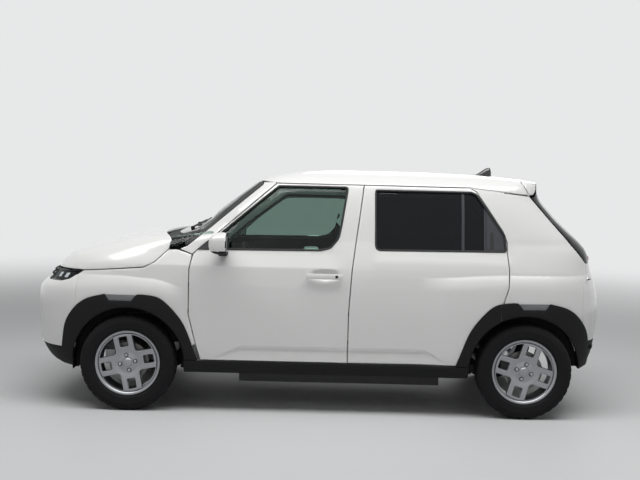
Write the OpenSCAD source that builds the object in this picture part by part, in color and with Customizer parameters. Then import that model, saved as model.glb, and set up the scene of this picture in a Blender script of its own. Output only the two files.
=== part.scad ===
// A small five-door city car with a hollow cabin, opening doors, hood and tailgate.
// The nose points along -X and the car's left side lies at -Y. The wheels stand on Z = 0
// and the origin is on the ground at mid-length. Sizes are in millimetres.

/* [Body] */
// Distance from the nose to the front axle
front_overhang = 690; // [640:5:760]
// Distance between the axles
wheelbase = 2580; // [2300:5:2900]
// Distance from the rear axle to the tail
rear_overhang = 555; // [530:5:640]
// Width over the wheel-arch claddings
body_width = 1610; // [1500:2:1780]
// Height of the roof's crown above the ground
roof_height = 1592; // [1500:2:1720]
// Height of the belt line below the windows
belt_height = 1045; // [960:1:1130]
// How far the skin swells out over the wheels
flare_depth = 12; // [6:1:16]
// How far the claddings stand out of the skin
cladding_depth = 10; // [6:1:14]

/* [Panels] */
// Thickness of the doors and of the tailgate
door_thickness = 58; // [50:1:64]
// Thickness of the outer sheet along the edges of the doors, and of the fenders
leaf_thickness = 5; // [4:0.5:6]
// Thickness of the doors around their windows
frame_thickness = 22; // [20:1:28]
// Thickness of hood and bumpers
panel_thickness = 24; // [16:1:28]
// Depth of the cabin's side frame measured from the outer skin
side_depth = 106; // [98:1:116]
// Thickness of the roof
roof_thickness = 36; // [28:1:44]
// Gap between neighbouring panels
shut_gap = 8; // [7:0.5:9]
// Thickness of the window panes
glass_thickness = 5; // [4:0.5:6]
// Depth of the windscreen and rear pane below the outer skin
glass_depth = 6; // [4:1:9]

/* [Running gear] */
// Distance between the wheel centre planes
track = 1400; // [1380:2:1420]
// Outer diameter of the tyres
tyre_diameter = 622; // [560:2:680]
// Width of the tyres
tyre_width = 185; // [165:5:195]
// Diameter over the rim lips
rim_diameter = 416; // [396:2:440]
// Number of double spokes in a wheel
spoke_pairs = 4; // [3:1:5]
// Diameter of the circle through the wheel bolts
bolt_circle = 100; // [98:1:110]
// Free height between a tyre and its wheel opening
arch_gap = 61; // [58:1:70]
// Inboard shift of the steering pivots from the wheel centre planes
pivot_inset = 45; // [42:1:48]

/* [Inside] */
// Height of the cabin floor
floor_height = 275; // [268:1:285]
// Height of the luggage floor
luggage_height = 520; // [500:2:560]
// Diameter of the steering wheel
steering_wheel_diameter = 365; // [340:5:390]
// Width of a front seat
seat_width = 480; // [430:5:520]

/* [Hidden] */

seat_gap = 0.3;
run_gap = 0.05;
body_length = front_overhang + wheelbase + rear_overhang;
nose_x = -body_length / 2;
tail_x = body_length / 2;
front_axle_x = nose_x + front_overhang;
rear_axle_x = front_axle_x + wheelbase;
axle_z = tyre_diameter / 2;
wheel_y = track / 2;
pivot_y = wheel_y - pivot_inset;
arch_radius = tyre_diameter / 2 + arch_gap;
half_width = body_width / 2 - flare_depth - cladding_depth;

// The body is drawn for one set of sizes, with X counted from the nose. These carry a drawn
// place to the set sizes: lengthwise between nose, door edges and tail, across, and upwards.
front_cut = front_axle_x + arch_radius + 18;
rear_cut = rear_axle_x - 0.312 * arch_radius;
function px(d) = d < 0 ? nose_x + d
    : d < 1080 ? nose_x + d * (front_cut - nose_x) / 1080
    : d < 3154 ? front_cut + (d - 1080) * (rear_cut - front_cut) / 2074
    : d < 3825 ? rear_cut + (d - 3154) * (tail_x - rear_cut) / 671
    : tail_x + d - 3825;
function py(d) = d * half_width / 783;
function pz(h) = h < 1045 ? h * belt_height / 1045
    : belt_height + (h - 1045) * (roof_height - belt_height) / 547;
function side_view(points) = [for (p = points) [px(p[0]), pz(p[1])]];
function end_view(points) = [for (p = points) [py(p[0]), pz(p[1])]];

// Levels of the body: height, nose end, tail end, half width
LEVELS = [
    [235, 220, 3675, 708],
    [270, 122, 3720, 745],
    [340, 54, 3762, 762],
    [450, 10, 3799, 772],
    [700, 0, 3825, 783],
    [811.3, 45.3, 3814.7, 781.37],
    [870, 99.7, 3797.7, 777.81],
    [915, 135.9, 3782.7, 774],
    [961.3, 182, 3765.7, 768],
    [1044.3, 367.3, 3763.3, 735],
    [1130, 761.3, 3710, 714],
    [1165, 1024.9, 3677.1, 706.81],
    [1330, 1242.7, 3508.3, 665.37],
    [1461.3, 1424.2, 3407.7, 621.81],
    [1500, 1479.3, 3400, 599],
    [1530.6, 1545, 3424.3, 558],
    [1555, 1640, 3295, 493],
    [1577, 1780, 3045, 370],
    [1592, 2150, 2525, 103]];

// Roundness of the plan outline at nose and tail: exponent along, exponent across
NOSE_ROUND = [8, 3.5];
TAIL_ROUND = [9, 4.5];
NOSE_SHARE = [0, 0.26, 0.48, 0.68, 0.84];
side_steps = 7;

function across(w, r) = pow(max(0, 1 - pow(w, r[0])), 1 / r[1]);
function along(v, r) = pow(max(0, 1 - pow(v, r[1])), 1 / r[0]);
// Stations of a quarter outline as shares of its length and width, centre line first
function quarter(r) = let (w0 = along(0.84, r)) concat(
    [for (v = NOSE_SHARE) [along(v, r), v]],
    [for (j = [1:side_steps]) let (w = w0 * (1 - j / side_steps)) [w, across(w, r)]]);
flare_reach = 1.75 * arch_radius;
function near(d) = abs(d) >= flare_reach ? 0 : pow(cos(90 * d / flare_reach), 2);
function fade(h) = h <= 720 ? 1 : h >= 900 ? 0 : (900 - h) / 180;
function flare(x, h, v) = flare_depth * fade(h) * pow(v, 4)
    * max(near(x - front_axle_x), near(x - rear_axle_x));
function half_ring(level, inset) = let (
    nose = px(level[1]) + inset,
    tail = px(level[2]) - inset,
    middle = nose + max(-nose, 0.4 * (tail - nose) - 80),
    half = py(level[3]) - inset,
    q = quarter(NOSE_ROUND),
    t = quarter(TAIL_ROUND))
    concat(
        [for (p = q) let (x = middle + (nose - middle) * p[0])
            [x, half * p[1] + flare(x, level[0], p[1])]],
        [for (k = [len(t) - 2:-1:0]) let (p = t[k], x = middle + (tail - middle) * p[0])
            [x, half * p[1] + flare(x, level[0], p[1])]]);
function ring(level, inset) = let (h = half_ring(level, inset), n = len(h), z = pz(level[0]) - inset)
    concat([for (p = h) [p[0], -p[1], z]], [for (k = [n - 2:-1:1]) [h[k][0], h[k][1], z]]);

// The whole body as one solid, shrunk on all sides by inset
module body(inset = 0) {
    rings = [for (level = LEVELS) ring(level, inset)];
    m = len(rings[0]);
    n = len(rings);
    polyhedron(
        points = [for (r = rings) for (p = r) p],
        faces = concat(
            [[for (k = [0:m - 1]) k]],
            [[for (k = [m - 1:-1:0]) (n - 1) * m + k]],
            [for (i = [0:n - 2]) for (k = [0:m - 1]) let (a = i * m + k, b = i * m + (k + 1) % m)
                [a, a + m, b]],
            [for (i = [0:n - 2]) for (k = [0:m - 1]) let (a = i * m + k, b = i * m + (k + 1) % m)
                [b, a + m, b + m]]),
        convexity = 6);
}

// A pressed panel, kept as one faceted piece
module pressed() {
    resize([0, 0, 0]) children();
}
module skin(outer, inner) {
    difference() {
        body(outer);
        body(inner);
    }
}

// Prisms through the left side, through both sides and along the car
module left_prism() {
    rotate([90, 0, 0]) linear_extrude(half_width + 400) children();
}
module cross_prism() {
    translate([0, half_width + 400, 0]) rotate([90, 0, 0]) linear_extrude(2 * half_width + 800) children();
}
module end_prism(d0, d1) {
    translate([px(d0), 0, 0]) rotate([90, 0, 90]) linear_extrude(px(d1) - px(d0)) children();
}
module both_sides() {
    children();
    mirror([0, 1, 0]) children();
}
module middle_box(half, low, high) {
    translate([nose_x - 100, -half, low]) cube([body_length + 200, 2 * half, high - low]);
}

// Shut lines in side view, drawn along the middle of the gaps
sill_line = 340;
hood_line = 904;
gate_line = 908;
bumper_cut_front = front_axle_x - arch_radius + 22;
bumper_cut_rear = rear_axle_x + arch_radius + 13;
bumper_split = pz(397);
FRONT_DOOR = [[1101, 1031], [1080, 930], [1080, 640], [1129, 446], [1161, sill_line],
    [2118, sill_line], [2118, 671], [2136, 957], [2206, 1498], [1633, 1498]];
FRONT_WINDOW = [[1153, 1068], [1932, 1075], [2012, 1118], [2038, 1180], [2090, 1476], [1645, 1476]];
REAR_DOOR = [[2118, sill_line], [2118, 671], [2136, 957], [2206, 1498], [2898, 1495], [2944, 1472],
    [3116, 1215], [3142, 1145], [3142, 1087], [3154, 957], [3148, 857], [3118, 758], [3044, 620],
    [2974, sill_line]];
REAR_WINDOW = [[2314, 1098], [3116, 1108], [3106, 1190], [2936, 1446], [2908, 1460], [2306, 1460]];
HOOD_SIDE = [[-90, hood_line], [380, hood_line], [785, 937], [858, 976], [942, 1056], [1012, 1300],
    [-90, 1300]];
TAILGATE_SIDE = [[3258, 1680], [3258, 1531], [3310, 1447], [3687, 1014], [3687, gate_line],
    [4015, gate_line], [4015, 1680]];
ROOF_SIDE = [[1300, 1514], [1524, 1514], [1640, 1502], [2898, 1499], [3000, 1486], [3308, 1452],
    [3258, 1534], [3258, 1680], [1300, 1680]];
QUARTER_SIDE = [[2834, 1496], [2898, 1495], [3000, 1483], [3306, 1449], [3687, 1014],
    [3687, gate_line - 20]];
SCREEN_SIDE = [[955, 1135], [1040, 1095], [1514, 1511], [1380, 1511]];
LAMP_SIDE = [[112, 940], [112, 838], [292, 862], [340, 940]];
PILLAR_SIDE = [[1006, 1060], [1101, 1026], [1650, 1507], [1520, 1507], [1046, 1095]];
// Outer edge of an arch cladding: distance from the axle towards the doors, height over the axle
ARCH_EDGE = [[-440, 86], [-405, 245], [-350, 345], [-270, 417], [-150, 449], [110, 453], [190, 438],
    [265, 384], [363, 262], [430, 89], [455, 25], [455, -71], [-440, -71]] * arch_radius / 372;

module gapped(grow = 0) {
    offset(delta = grow - shut_gap / 2) children();
}
module wheel_opening(x, grow = 0) {
    translate([x, axle_z]) circle(r = arch_radius + grow, $fn = 48);
}
module front_door_area(grow = 0) {
    gapped(grow) polygon(side_view(FRONT_DOOR));
}
module rear_door_area(grow = 0) {
    difference() {
        gapped(grow) polygon(side_view(REAR_DOOR));
        wheel_opening(rear_axle_x, -grow);
    }
}
module front_bumper_area() {
    gapped() polygon([[nose_x - 90, pz(hood_line)], [bumper_cut_front, pz(hood_line)],
        [bumper_cut_front, pz(200)], [nose_x - 90, pz(200)]]);
}
module rear_bumper_area() {
    gapped() polygon([[bumper_cut_rear, pz(gate_line - 20)], [px(3687), pz(gate_line - 20)],
        [px(3687), pz(gate_line)], [tail_x + 90, pz(gate_line)], [tail_x + 90, pz(200)],
        [bumper_cut_rear, pz(200)]]);
}

// Rails under the nose and the luggage floor
rail_mid = py(380);

// Door and tailgate hinges: the pin lies ahead of the panel's edge and below the skin
hinge_lead = 45;
hinge_pin = 3;
hinge_height = 26;
front_levels = [pz(655), pz(830)];
rear_levels = [pz(470), pz(655)];
hinge_drop = 39;
front_hinge = [px(1080) + shut_gap / 2 - hinge_lead, half_width - 17];
rear_hinge = [px(2118) + shut_gap / 2 - hinge_lead, half_width - 24];
gate_hinge = [px(3258) + shut_gap / 2 - hinge_lead, pz(1540)];
gate_hinge_y = py(380);
// Strap of the moving panel: pin along Z, inside of the car along +Y, panel along +X
module hinge_strap(reach, drop) {
    difference() {
        union() {
            cylinder(h = hinge_height, r = 5, center = true, $fn = 16);
            translate([-5, 0, -hinge_height / 2]) cube([10, drop + 5, hinge_height]);
            translate([-5, drop - 5, -hinge_height / 2]) cube([reach + 5, 10, hinge_height]);
        }
        cylinder(h = hinge_height + 2, r = hinge_pin + seat_gap, center = true, $fn = 16);
    }
}
// Ears and pin of the fixed side
module hinge_ears(ahead, depth) {
    cylinder(h = hinge_height + 20, r = hinge_pin, center = true, $fn = 16);
    for (s = [0, 1]) mirror([0, 0, s])
        translate([-ahead, -4.5, hinge_height / 2 + 0.5]) cube([ahead + 6, depth + 4.5, 9.5]);
}
module at_door_hinges(h, levels) {
    for (z = levels) translate([h[0], -h[1], z]) children();
}
module at_gate_hinges() {
    both_sides() translate([gate_hinge[0], -gate_hinge_y, gate_hinge[1]]) rotate([-90, 0, 0]) children();
}

module roof() {
    color("white") pressed() {
        intersection() {
            skin(0, leaf_thickness);
            cross_prism() gapped(shut_gap / 4) polygon(side_view(ROOF_SIDE));
        }
        intersection() {
            skin(leaf_thickness - 1, roof_thickness);
            cross_prism() gapped(shut_gap / 4) polygon(side_view(concat(
                [for (k = [0:3]) ROOF_SIDE[k]], [[3160, 1472], [3160, 1680], [1300, 1680]])));
        }
        intersection() {
            skin(glass_depth + glass_thickness + seat_gap, 60);
            translate([px(1300), -rail_y + 10, pz(1478)])
                cube([px(1590) - px(1300), 2 * rail_y - 20, pz(1525) - pz(1478)]);
        }
    }
    color("white") at_gate_hinges() hinge_ears(85, 12);
}

// One side of the cabin: front pillar, middle pillar, sill, roof rail and rear quarter
rail_y = py(330);
ledge_y = py(600);
post_depth = door_thickness + 8;
module side_space() {
    end_prism(0, 2400) polygon(end_view([[-900, 0], [-602, 0], [-602, 1110], [-330, 1380], [-330, 1700],
        [-900, 1700]]));
    end_prism(2300, 3825) polygon(end_view([[-900, 0], [-500, 0], [-500, 1110], [-330, 1380], [-330, 1700],
        [-900, 1700]]));
}
module side_areas() {
    gapped() polygon(side_view(PILLAR_SIDE));
    polygon([[px(1166), pz(245)], [px(2990), pz(245)], [px(2990), pz(sill_line + 25)],
        [px(1166), pz(sill_line + 25)]]);
    gapped() polygon(concat(side_view(QUARTER_SIDE), [[bumper_cut_rear, pz(gate_line - 20)],
        [bumper_cut_rear, pz(244)]], side_view([[2824, 244], [2824, sill_line + 30],
        [2864, sill_line + 30], [3024, 690], [3094, 857], [3094, 957], [3082, 1145], [3056, 1200],
        [2892, 1440], [2834, 1444]])));
}
module post_areas() {
    polygon(side_view([[1000, 255], [1155, 255], [1160, 1055], [1698, 1505], [1570, 1505],
        [1020, 1100], [1005, 900]]));
    polygon(side_view([[2043, 255], [2193, 255], [2208, 957], [2273, 1498], [2163, 1498], [2060, 957]]));
    polygon(side_view([[1570, 1440], [2750, 1440], [2750, 1506], [1570, 1506]]));
    polygon(side_view([[1100, 252], [2860, 252], [2860, 412], [1100, 412]]));
}
module body_side() {
    color("white") pressed() {
        difference() {
            union() {
                intersection() {
                    skin(0, side_depth);
                    side_space();
                    left_prism() side_areas();
                }
                intersection() {
                    skin(post_depth, side_depth);
                    side_space();
                    left_prism() post_areas();
                }
                intersection() {
                    skin(glass_depth + glass_thickness + seat_gap, side_depth);
                    left_prism() polygon(side_view([[1030, 1080], [1114, 1080], [1544, 1505], [1480, 1505]]));
                    end_prism(0, 1900) polygon(end_view([[-900, 1060], [-640, 1060], [-435, 1520],
                        [-900, 1520]]));
                }
                intersection() {
                    skin(roof_thickness + seat_gap, side_depth);
                    side_space();
                    translate([px(1520), -half_width, pz(1480)])
                        cube([px(2870) - px(1520), half_width, pz(1545) - pz(1480)]);
                }
                translate([px(1120), -py(690), pz(255)])
                    cube([px(2860) - px(1120), py(690) - ledge_y, pz(410) - pz(255)]);
            }
            cross_prism() {
                wheel_opening(front_axle_x, 24);
                wheel_opening(rear_axle_x);
            }
            translate([rear_axle_x, 0, axle_z]) rotate([90, 0, 0])
                cylinder(h = py(662), r = arch_radius + 24, $fn = 48);
            intersection() {
                skin(-20, post_depth);
                left_prism() {
                    front_door_area(shut_gap);
                    rear_door_area(shut_gap);
                }
            }
        }
    }
    color("white") at_door_hinges(front_hinge, front_levels) hinge_ears(30, side_depth - 36);
    color("white") at_door_hinges(rear_hinge, rear_levels) hinge_ears(6, side_depth - 36);
}
module body_side_left() { body_side(); }
module body_side_right() { mirror([0, 1, 0]) body_side(); }

// Wall between cabin and nose, with the cowl below the windscreen
hood_hinge = [px(987), pz(1085)];
hood_hinge_y = py(480);
bulkhead_x = front_cut;
module bulkhead() {
    color("dimgray") pressed() {
        intersection() {
            body(side_depth + 1.5);
            translate([bulkhead_x, -half_width, pz(255)]) cube([22, 2 * half_width, pz(1055) - pz(255)]);
        }
        intersection() {
            body(40);
            translate([px(930), -py(540), pz(1040)]) cube([bulkhead_x + 22 - px(930), py(1080), pz(1060) - pz(1040)]);
        }
        difference() {
            intersection() {
                skin(34, 44);
                cross_prism() polygon(side_view([[830, 1000], [1010, 1062], [1042, 1132], [960, 1165],
                    [830, 1150]]));
                middle_box(py(570), 0, roof_height);
            }
            for (s = [-1, 1]) translate([px(850), s * hood_hinge_y - 24, pz(1000)]) cube([300, 48, 300]);
        }
        translate([px(940), -py(20), pz(1050)]) cube([20, py(40), pz(1108) - pz(1050)]);
    }
    color("dimgray") both_sides() translate([hood_hinge[0], -hood_hinge_y, hood_hinge[1]]) {
        for (e = [-1, 1]) translate([-12, e * 13.5 - 5, pz(1050) - hood_hinge[1]])
            cube([24, 10, hood_hinge[1] + 8 - pz(1050)]);
        rotate([90, 0, 0]) cylinder(h = 36, r = hinge_pin, center = true, $fn = 16);
    }
}

module windscreen() {
    color("lightblue", 0.5) pressed() intersection() {
        skin(glass_depth, glass_depth + glass_thickness);
        cross_prism() polygon(side_view(SCREEN_SIDE));
    }
}

module front_fenders() {
    color("white") both_sides() pressed() intersection() {
        skin(0, leaf_thickness);
        left_prism() difference() {
            gapped() polygon(concat([[bumper_cut_front, pz(hood_line)]], side_view([[380, hood_line],
                [785, 937], [858, 976], [942, 1056], [1006, 1056], [1099, 1022],
                [1080, 930], [1080, 640], [1129, 446], [1161, sill_line], [1161, 250]]),
                [[bumper_cut_front, pz(250)]]));
            wheel_opening(front_axle_x);
        }
    }
}

module hood_plan() {
    polygon(concat([[nose_x - 90, -half_width], [nose_x - 90, half_width]],
        [for (k = [6:-1:-6]) [px(852) + 95 * pow(k / 4.4, 2), py(150 * k)]]));
}
module hood() {
    color("white") pressed() {
        intersection() {
            skin(0, panel_thickness);
            cross_prism() gapped() polygon(side_view(HOOD_SIDE));
            translate([0, 0, pz(700)]) linear_extrude(700) hood_plan();
        }
    }
    color("white") both_sides() difference() {
        union() {
            translate([px(868), -hood_hinge_y - 8, hood_hinge[1] - 7])
                cube([hood_hinge[0] + 8 - px(868), 16, 14]);
            translate([px(868), -hood_hinge_y - 8, hood_hinge[1] - 7])
                cube([px(892) - px(868), 16, pz(1122) - hood_hinge[1] + 7]);
        }
        translate([hood_hinge[0], -hood_hinge_y, hood_hinge[1]]) rotate([90, 0, 0])
            cylinder(h = 40, r = hinge_pin + seat_gap, center = true, $fn = 16);
    }
}

grille_half = 530;
module grille_area(grow = 0) {
    offset(delta = grow) polygon(end_view([[-grille_half, 838], [grille_half, 838],
        [grille_half, 960], [-grille_half, 960]]));
}
tow_y = rail_mid + 70;
tow_z = 480;
module front_bumper() {
    color("white") pressed() difference() {
        intersection() {
            skin(0, panel_thickness);
            cross_prism() front_bumper_area();
            middle_box(half_width + 50, bumper_split, pz(960));
        }
        cross_prism() {
            offset(delta = seat_gap) polygon(side_view(LAMP_SIDE));
            wheel_opening(front_axle_x);
        }
        end_prism(-50, 300) grille_area(seat_gap);
        translate([nose_x - 50, tow_y, tow_z]) rotate([0, 90, 0]) cylinder(h = 200, r = 32, $fn = 24);
    }
}
module headlamps() {
    color("lightgray") both_sides() pressed() difference() {
        intersection() {
            skin(3, panel_thickness);
            left_prism() intersection() {
                polygon(side_view(LAMP_SIDE));
                front_bumper_area();
            }
        }
        end_prism(-50, 300) grille_area(2 * seat_gap);
    }
}
module grille() {
    color("black") pressed() intersection() {
        skin(3, panel_thickness);
        cross_prism() front_bumper_area();
        end_prism(-50, 300) grille_area();
    }
}
module rear_bumper() {
    color("white") pressed() difference() {
        intersection() {
            skin(0, panel_thickness);
            cross_prism() rear_bumper_area();
            middle_box(half_width + 50, bumper_split, pz(960));
        }
        cross_prism() wheel_opening(rear_axle_x);
    }
}
module lower_valances() {
    color("black") pressed() difference() {
        intersection() {
            skin(0, panel_thickness);
            cross_prism() {
                front_bumper_area();
                rear_bumper_area();
            }
            middle_box(half_width + 50, 0, bumper_split - seat_gap);
        }
        cross_prism() {
            wheel_opening(front_axle_x);
            wheel_opening(rear_axle_x);
        }
    }
}

module arch_area(x, way) {
    difference() {
        translate([x, axle_z]) scale([way, 1]) polygon(ARCH_EDGE);
        wheel_opening(x, -2);
    }
}
module claddings() {
    color("black") both_sides() pressed() intersection() {
        skin(-cladding_depth, -seat_gap);
        left_prism() difference() {
            union() {
                arch_area(front_axle_x, 1);
                arch_area(rear_axle_x, -1);
                polygon([[front_axle_x + arch_radius + 30, pz(240)], [rear_axle_x - arch_radius - 30, pz(240)],
                    [rear_axle_x - arch_radius - 30, pz(sill_line) - shut_gap / 2],
                    [front_axle_x + arch_radius + 30, pz(sill_line) - shut_gap / 2]]);
            }
            wheel_opening(front_axle_x, -2);
            wheel_opening(rear_axle_x, -2);
            front_door_area(shut_gap);
            gapped(shut_gap) polygon(side_view(REAR_DOOR));
            translate([nose_x - 100, 0]) square([bumper_cut_front + shut_gap / 2 - nose_x + 100, roof_height]);
            translate([bumper_cut_rear - shut_gap / 2, 0]) square([body_length, roof_height]);
        }
    }
}
module door_cladding() {
    color("black") pressed() intersection() {
        skin(-cladding_depth, -seat_gap);
        left_prism() intersection() {
            arch_area(rear_axle_x, -1);
            gapped() polygon(side_view(REAR_DOOR));
        }
    }
}
module door_cladding_left() { door_cladding(); }
module door_cladding_right() { mirror([0, 1, 0]) door_cladding(); }

// A door: thin sheet to its edges, thicker around the window, full depth inside
edge_flange = 58;
module front_door() {
    color("white") pressed() {
        difference() {
            union() {
                intersection() {
                    skin(0, leaf_thickness);
                    left_prism() front_door_area();
                }
                intersection() {
                    skin(leaf_thickness - 1, frame_thickness);
                    middle_box(half_width, pz(1000), roof_height);
                    left_prism() front_door_area();
                }
                intersection() {
                    skin(leaf_thickness - 1, door_thickness);
                    left_prism() front_door_area(-edge_flange);
                }
            }
            left_prism() polygon(side_view(FRONT_WINDOW));
        }
    }
    color("white") at_door_hinges(front_hinge, front_levels)
        hinge_strap(hinge_lead + edge_flange + 55, hinge_drop);
}
module front_window() {
    color("lightblue", 0.5) pressed() intersection() {
        skin(14, 14 + glass_thickness);
        left_prism() offset(delta = -seat_gap) polygon(side_view(FRONT_WINDOW));
    }
}
module rear_door() {
    color("white") pressed() {
        difference() {
            union() {
                intersection() {
                    skin(0, leaf_thickness);
                    left_prism() rear_door_area();
                }
                intersection() {
                    skin(leaf_thickness - 1, frame_thickness);
                    middle_box(half_width, pz(1000), roof_height);
                    left_prism() rear_door_area();
                }
                intersection() {
                    skin(leaf_thickness - 1, door_thickness);
                    left_prism() rear_door_area(-edge_flange);
                }
            }
            left_prism() polygon(side_view(REAR_WINDOW));
        }
    }
    color("white") at_door_hinges(rear_hinge, rear_levels)
        hinge_strap(hinge_lead + edge_flange + 12, hinge_drop - 5);
}
module rear_window() {
    color("gray", 0.5) pressed() intersection() {
        skin(14, 14 + glass_thickness);
        left_prism() offset(delta = -seat_gap) polygon(side_view(REAR_WINDOW));
    }
}
module door_front_left() { front_door(); }
module door_front_right() { mirror([0, 1, 0]) front_door(); }
module window_front_left() { front_window(); }
module window_front_right() { mirror([0, 1, 0]) front_window(); }
module door_rear_left() { rear_door(); }
module door_rear_right() { mirror([0, 1, 0]) rear_door(); }
module window_rear_left() { rear_window(); }
module window_rear_right() { mirror([0, 1, 0]) rear_window(); }

// Outside mirror and pull handle of a front door
mirror_at = [px(1255), half_width + 95, pz(1110)];
module fittings() {
    color("white") pressed() difference() {
        hull() {
            translate([mirror_at[0], -mirror_at[1], mirror_at[2]]) scale([38, 108, 66]) sphere(1, $fn = 16);
            translate([mirror_at[0] + 75, -mirror_at[1], mirror_at[2]]) scale([20, 114, 74]) sphere(1, $fn = 16);
        }
        body(-2);
    }
    color("black") pressed() difference() {
        hull() {
            translate([mirror_at[0] + 20, -half_width - 60, mirror_at[2] - 80]) cube([60, 60, 30]);
            translate([mirror_at[0] + 20, -half_width + 20, mirror_at[2] - 98]) cube([70, 60, 40]);
        }
        body(-seat_gap);
    }
    color("white") pressed() intersection() {
        union() {
            skin(-36, -16);
            intersection() {
                skin(-36, -seat_gap);
                left_prism() for (d = [1841, 2046]) translate([px(d), pz(888)]) square([28, 32]);
            }
        }
        left_prism() translate([px(1835), pz(886)]) square([240, 36]);
    }
}
module fittings_left() { fittings(); }
module fittings_right() { mirror([0, 1, 0]) fittings(); }

module gate_glass_area(grow = 0) {
    offset(delta = grow) polygon(end_view([[-560, 1075], [560, 1075], [470, 1440], [-470, 1440]]));
}
module lamp_area(grow = 0) {
    for (s = [0, 1]) mirror([s, 0, 0]) offset(delta = grow)
        polygon(end_view([[270, 972], [482, 972], [476, 1036], [270, 1036]]));
}
module tailgate() {
    color("white") pressed() {
        difference() {
            union() {
                intersection() {
                    skin(0, leaf_thickness);
                    cross_prism() gapped() polygon(side_view(TAILGATE_SIDE));
                }
                intersection() {
                    skin(leaf_thickness - 1, door_thickness);
                    cross_prism() gapped() polygon(side_view(concat([[3334, 1680], [3334, 1420]],
                        [for (k = [3:6]) TAILGATE_SIDE[k]])));
                }
            }
            end_prism(3100, 3900) gate_glass_area(-26);
            intersection() {
                skin(-5, glass_depth + glass_thickness + seat_gap);
                end_prism(3395, 3900) gate_glass_area(seat_gap);
            }
            intersection() {
                skin(-5, 30 + seat_gap);
                end_prism(3600, 3900) lamp_area(seat_gap);
            }
        }
    }
    color("white") at_gate_hinges() hinge_strap(px(3360) - gate_hinge[0], hinge_drop + 4);
}
module tailgate_glass() {
    color("gray", 0.5) pressed() intersection() {
        skin(glass_depth, glass_depth + glass_thickness);
        end_prism(3395, 3900) gate_glass_area();
    }
}
module tail_lamps() {
    color("firebrick") pressed() intersection() {
        skin(2, 30);
        end_prism(3600, 3900) lamp_area();
    }
}

// Bars lying on the windscreen, in front view: pivot y, pivot z, tip y, tip z, shaft from the nose
WIPERS = [[-436, 1172, 60, 1222, 949], [60, 1178, 500, 1208, 942]];
module wipers() {
    color("black") pressed() for (w = WIPERS) {
        intersection() {
            skin(-14, -2);
            end_prism(938, 1200) hull() {
                translate([py(w[0]), pz(w[1])]) circle(r = 10, $fn = 16);
                translate([py(w[2]), pz(w[3])]) circle(r = 6, $fn = 16);
            }
        }
        intersection() {
            skin(-17, 33.7);
            translate([px(w[4]), py(w[0]), pz(1000)]) cylinder(h = 300, r = 9, $fn = 16);
        }
    }
}

module antenna() {
    color("black") pressed() difference() {
        hull() {
            translate([px(2984), -26, roof_height - 40]) cube([150, 52, 20]);
            translate([px(2984) + 110, -5, roof_height + 30]) cube([36, 10, 12]);
        }
        body(-seat_gap);
    }
}

// Floor, rails and bumper beams
floor_end = px(2842);
luggage_half = py(500);
jack_pad_x = [px(1210), px(2824)];
module floor_pan() {
    color("dimgray") difference() {
        union() {
            translate([bulkhead_x + 22 + seat_gap, seat_gap - ledge_y, floor_height - 20])
                cube([floor_end + 2 - bulkhead_x - 22 - seat_gap, 2 * (ledge_y - seat_gap), 20]);
            translate([floor_end, -luggage_half, floor_height - 20])
                cube([20, 2 * luggage_half, luggage_height - floor_height + 20]);
            translate([floor_end, -luggage_half, luggage_height - 20])
                cube([bumper_cut_rear - floor_end, 2 * luggage_half, 20]);
            translate([bumper_cut_rear - 20, -py(494), 420]) cube([20, py(988), pz(848) - 420]);
            for (side = [-1, 1]) {
                translate([nose_x + 135, side * rail_mid - 40, 400])
                    cube([bulkhead_x - nose_x - 135 - seat_gap, 80, 120]);
                for (x = jack_pad_x) translate([x - 45, side * (ledge_y - 28) - 26, floor_height - 35])
                    cube([90, 52, 16]);
            }
            translate([nose_x + 95, -py(482), 425]) cube([42, py(964), 110]);
            translate([tail_x - 126.3, -py(480), 425]) cube([42, py(960), 110]);
            for (side = [-1, 1]) translate([bumper_cut_rear - 1, side * rail_mid - 40, 440])
                cube([tail_x - 120 - bumper_cut_rear, 80, 80]);
        }
        translate([nose_x + 94, tow_y, tow_z]) rotate([0, 90, 0]) cylinder(h = 44, r = 9, $fn = 48);
    }
}

// Liners: axle position, inner wall, outer edge
LINERS = [[front_axle_x, rail_mid + 40 + seat_gap, py(668)], [rear_axle_x, luggage_half + seat_gap, py(660)]];
module wheelhouses() {
    color("dimgray") for (side = [-1, 1], l = LINERS) difference() {
        translate([l[0], side * (l[1] + l[2]) / 2, axle_z]) rotate([90, 0, 0]) difference() {
            cylinder(h = l[2] - l[1], r = arch_radius + 22, center = true, $fn = 72);
            translate([0, 0, -side * 10]) cylinder(h = l[2] - l[1], r = arch_radius + 14, center = true, $fn = 72);
        }
        translate([l[0] - 500, side * py(550) - 200, -100]) cube([1000, 400, axle_z + 240]);
        translate([l[0] - 75, side * (rail_mid + 50) - 20, 0]) cube([150, 40, 600]);
    }
}

module battery_pack() {
    color("silver") translate([px(1400), -py(540), 165])
        cube([px(2740) - px(1400), py(1080), floor_height - 20 - seat_gap - 165]);
}
module drive_unit() {
    color("silver") translate([front_axle_x - 230, -py(320), 250 + seat_gap]) cube([420, py(640), 470]);
}

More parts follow.
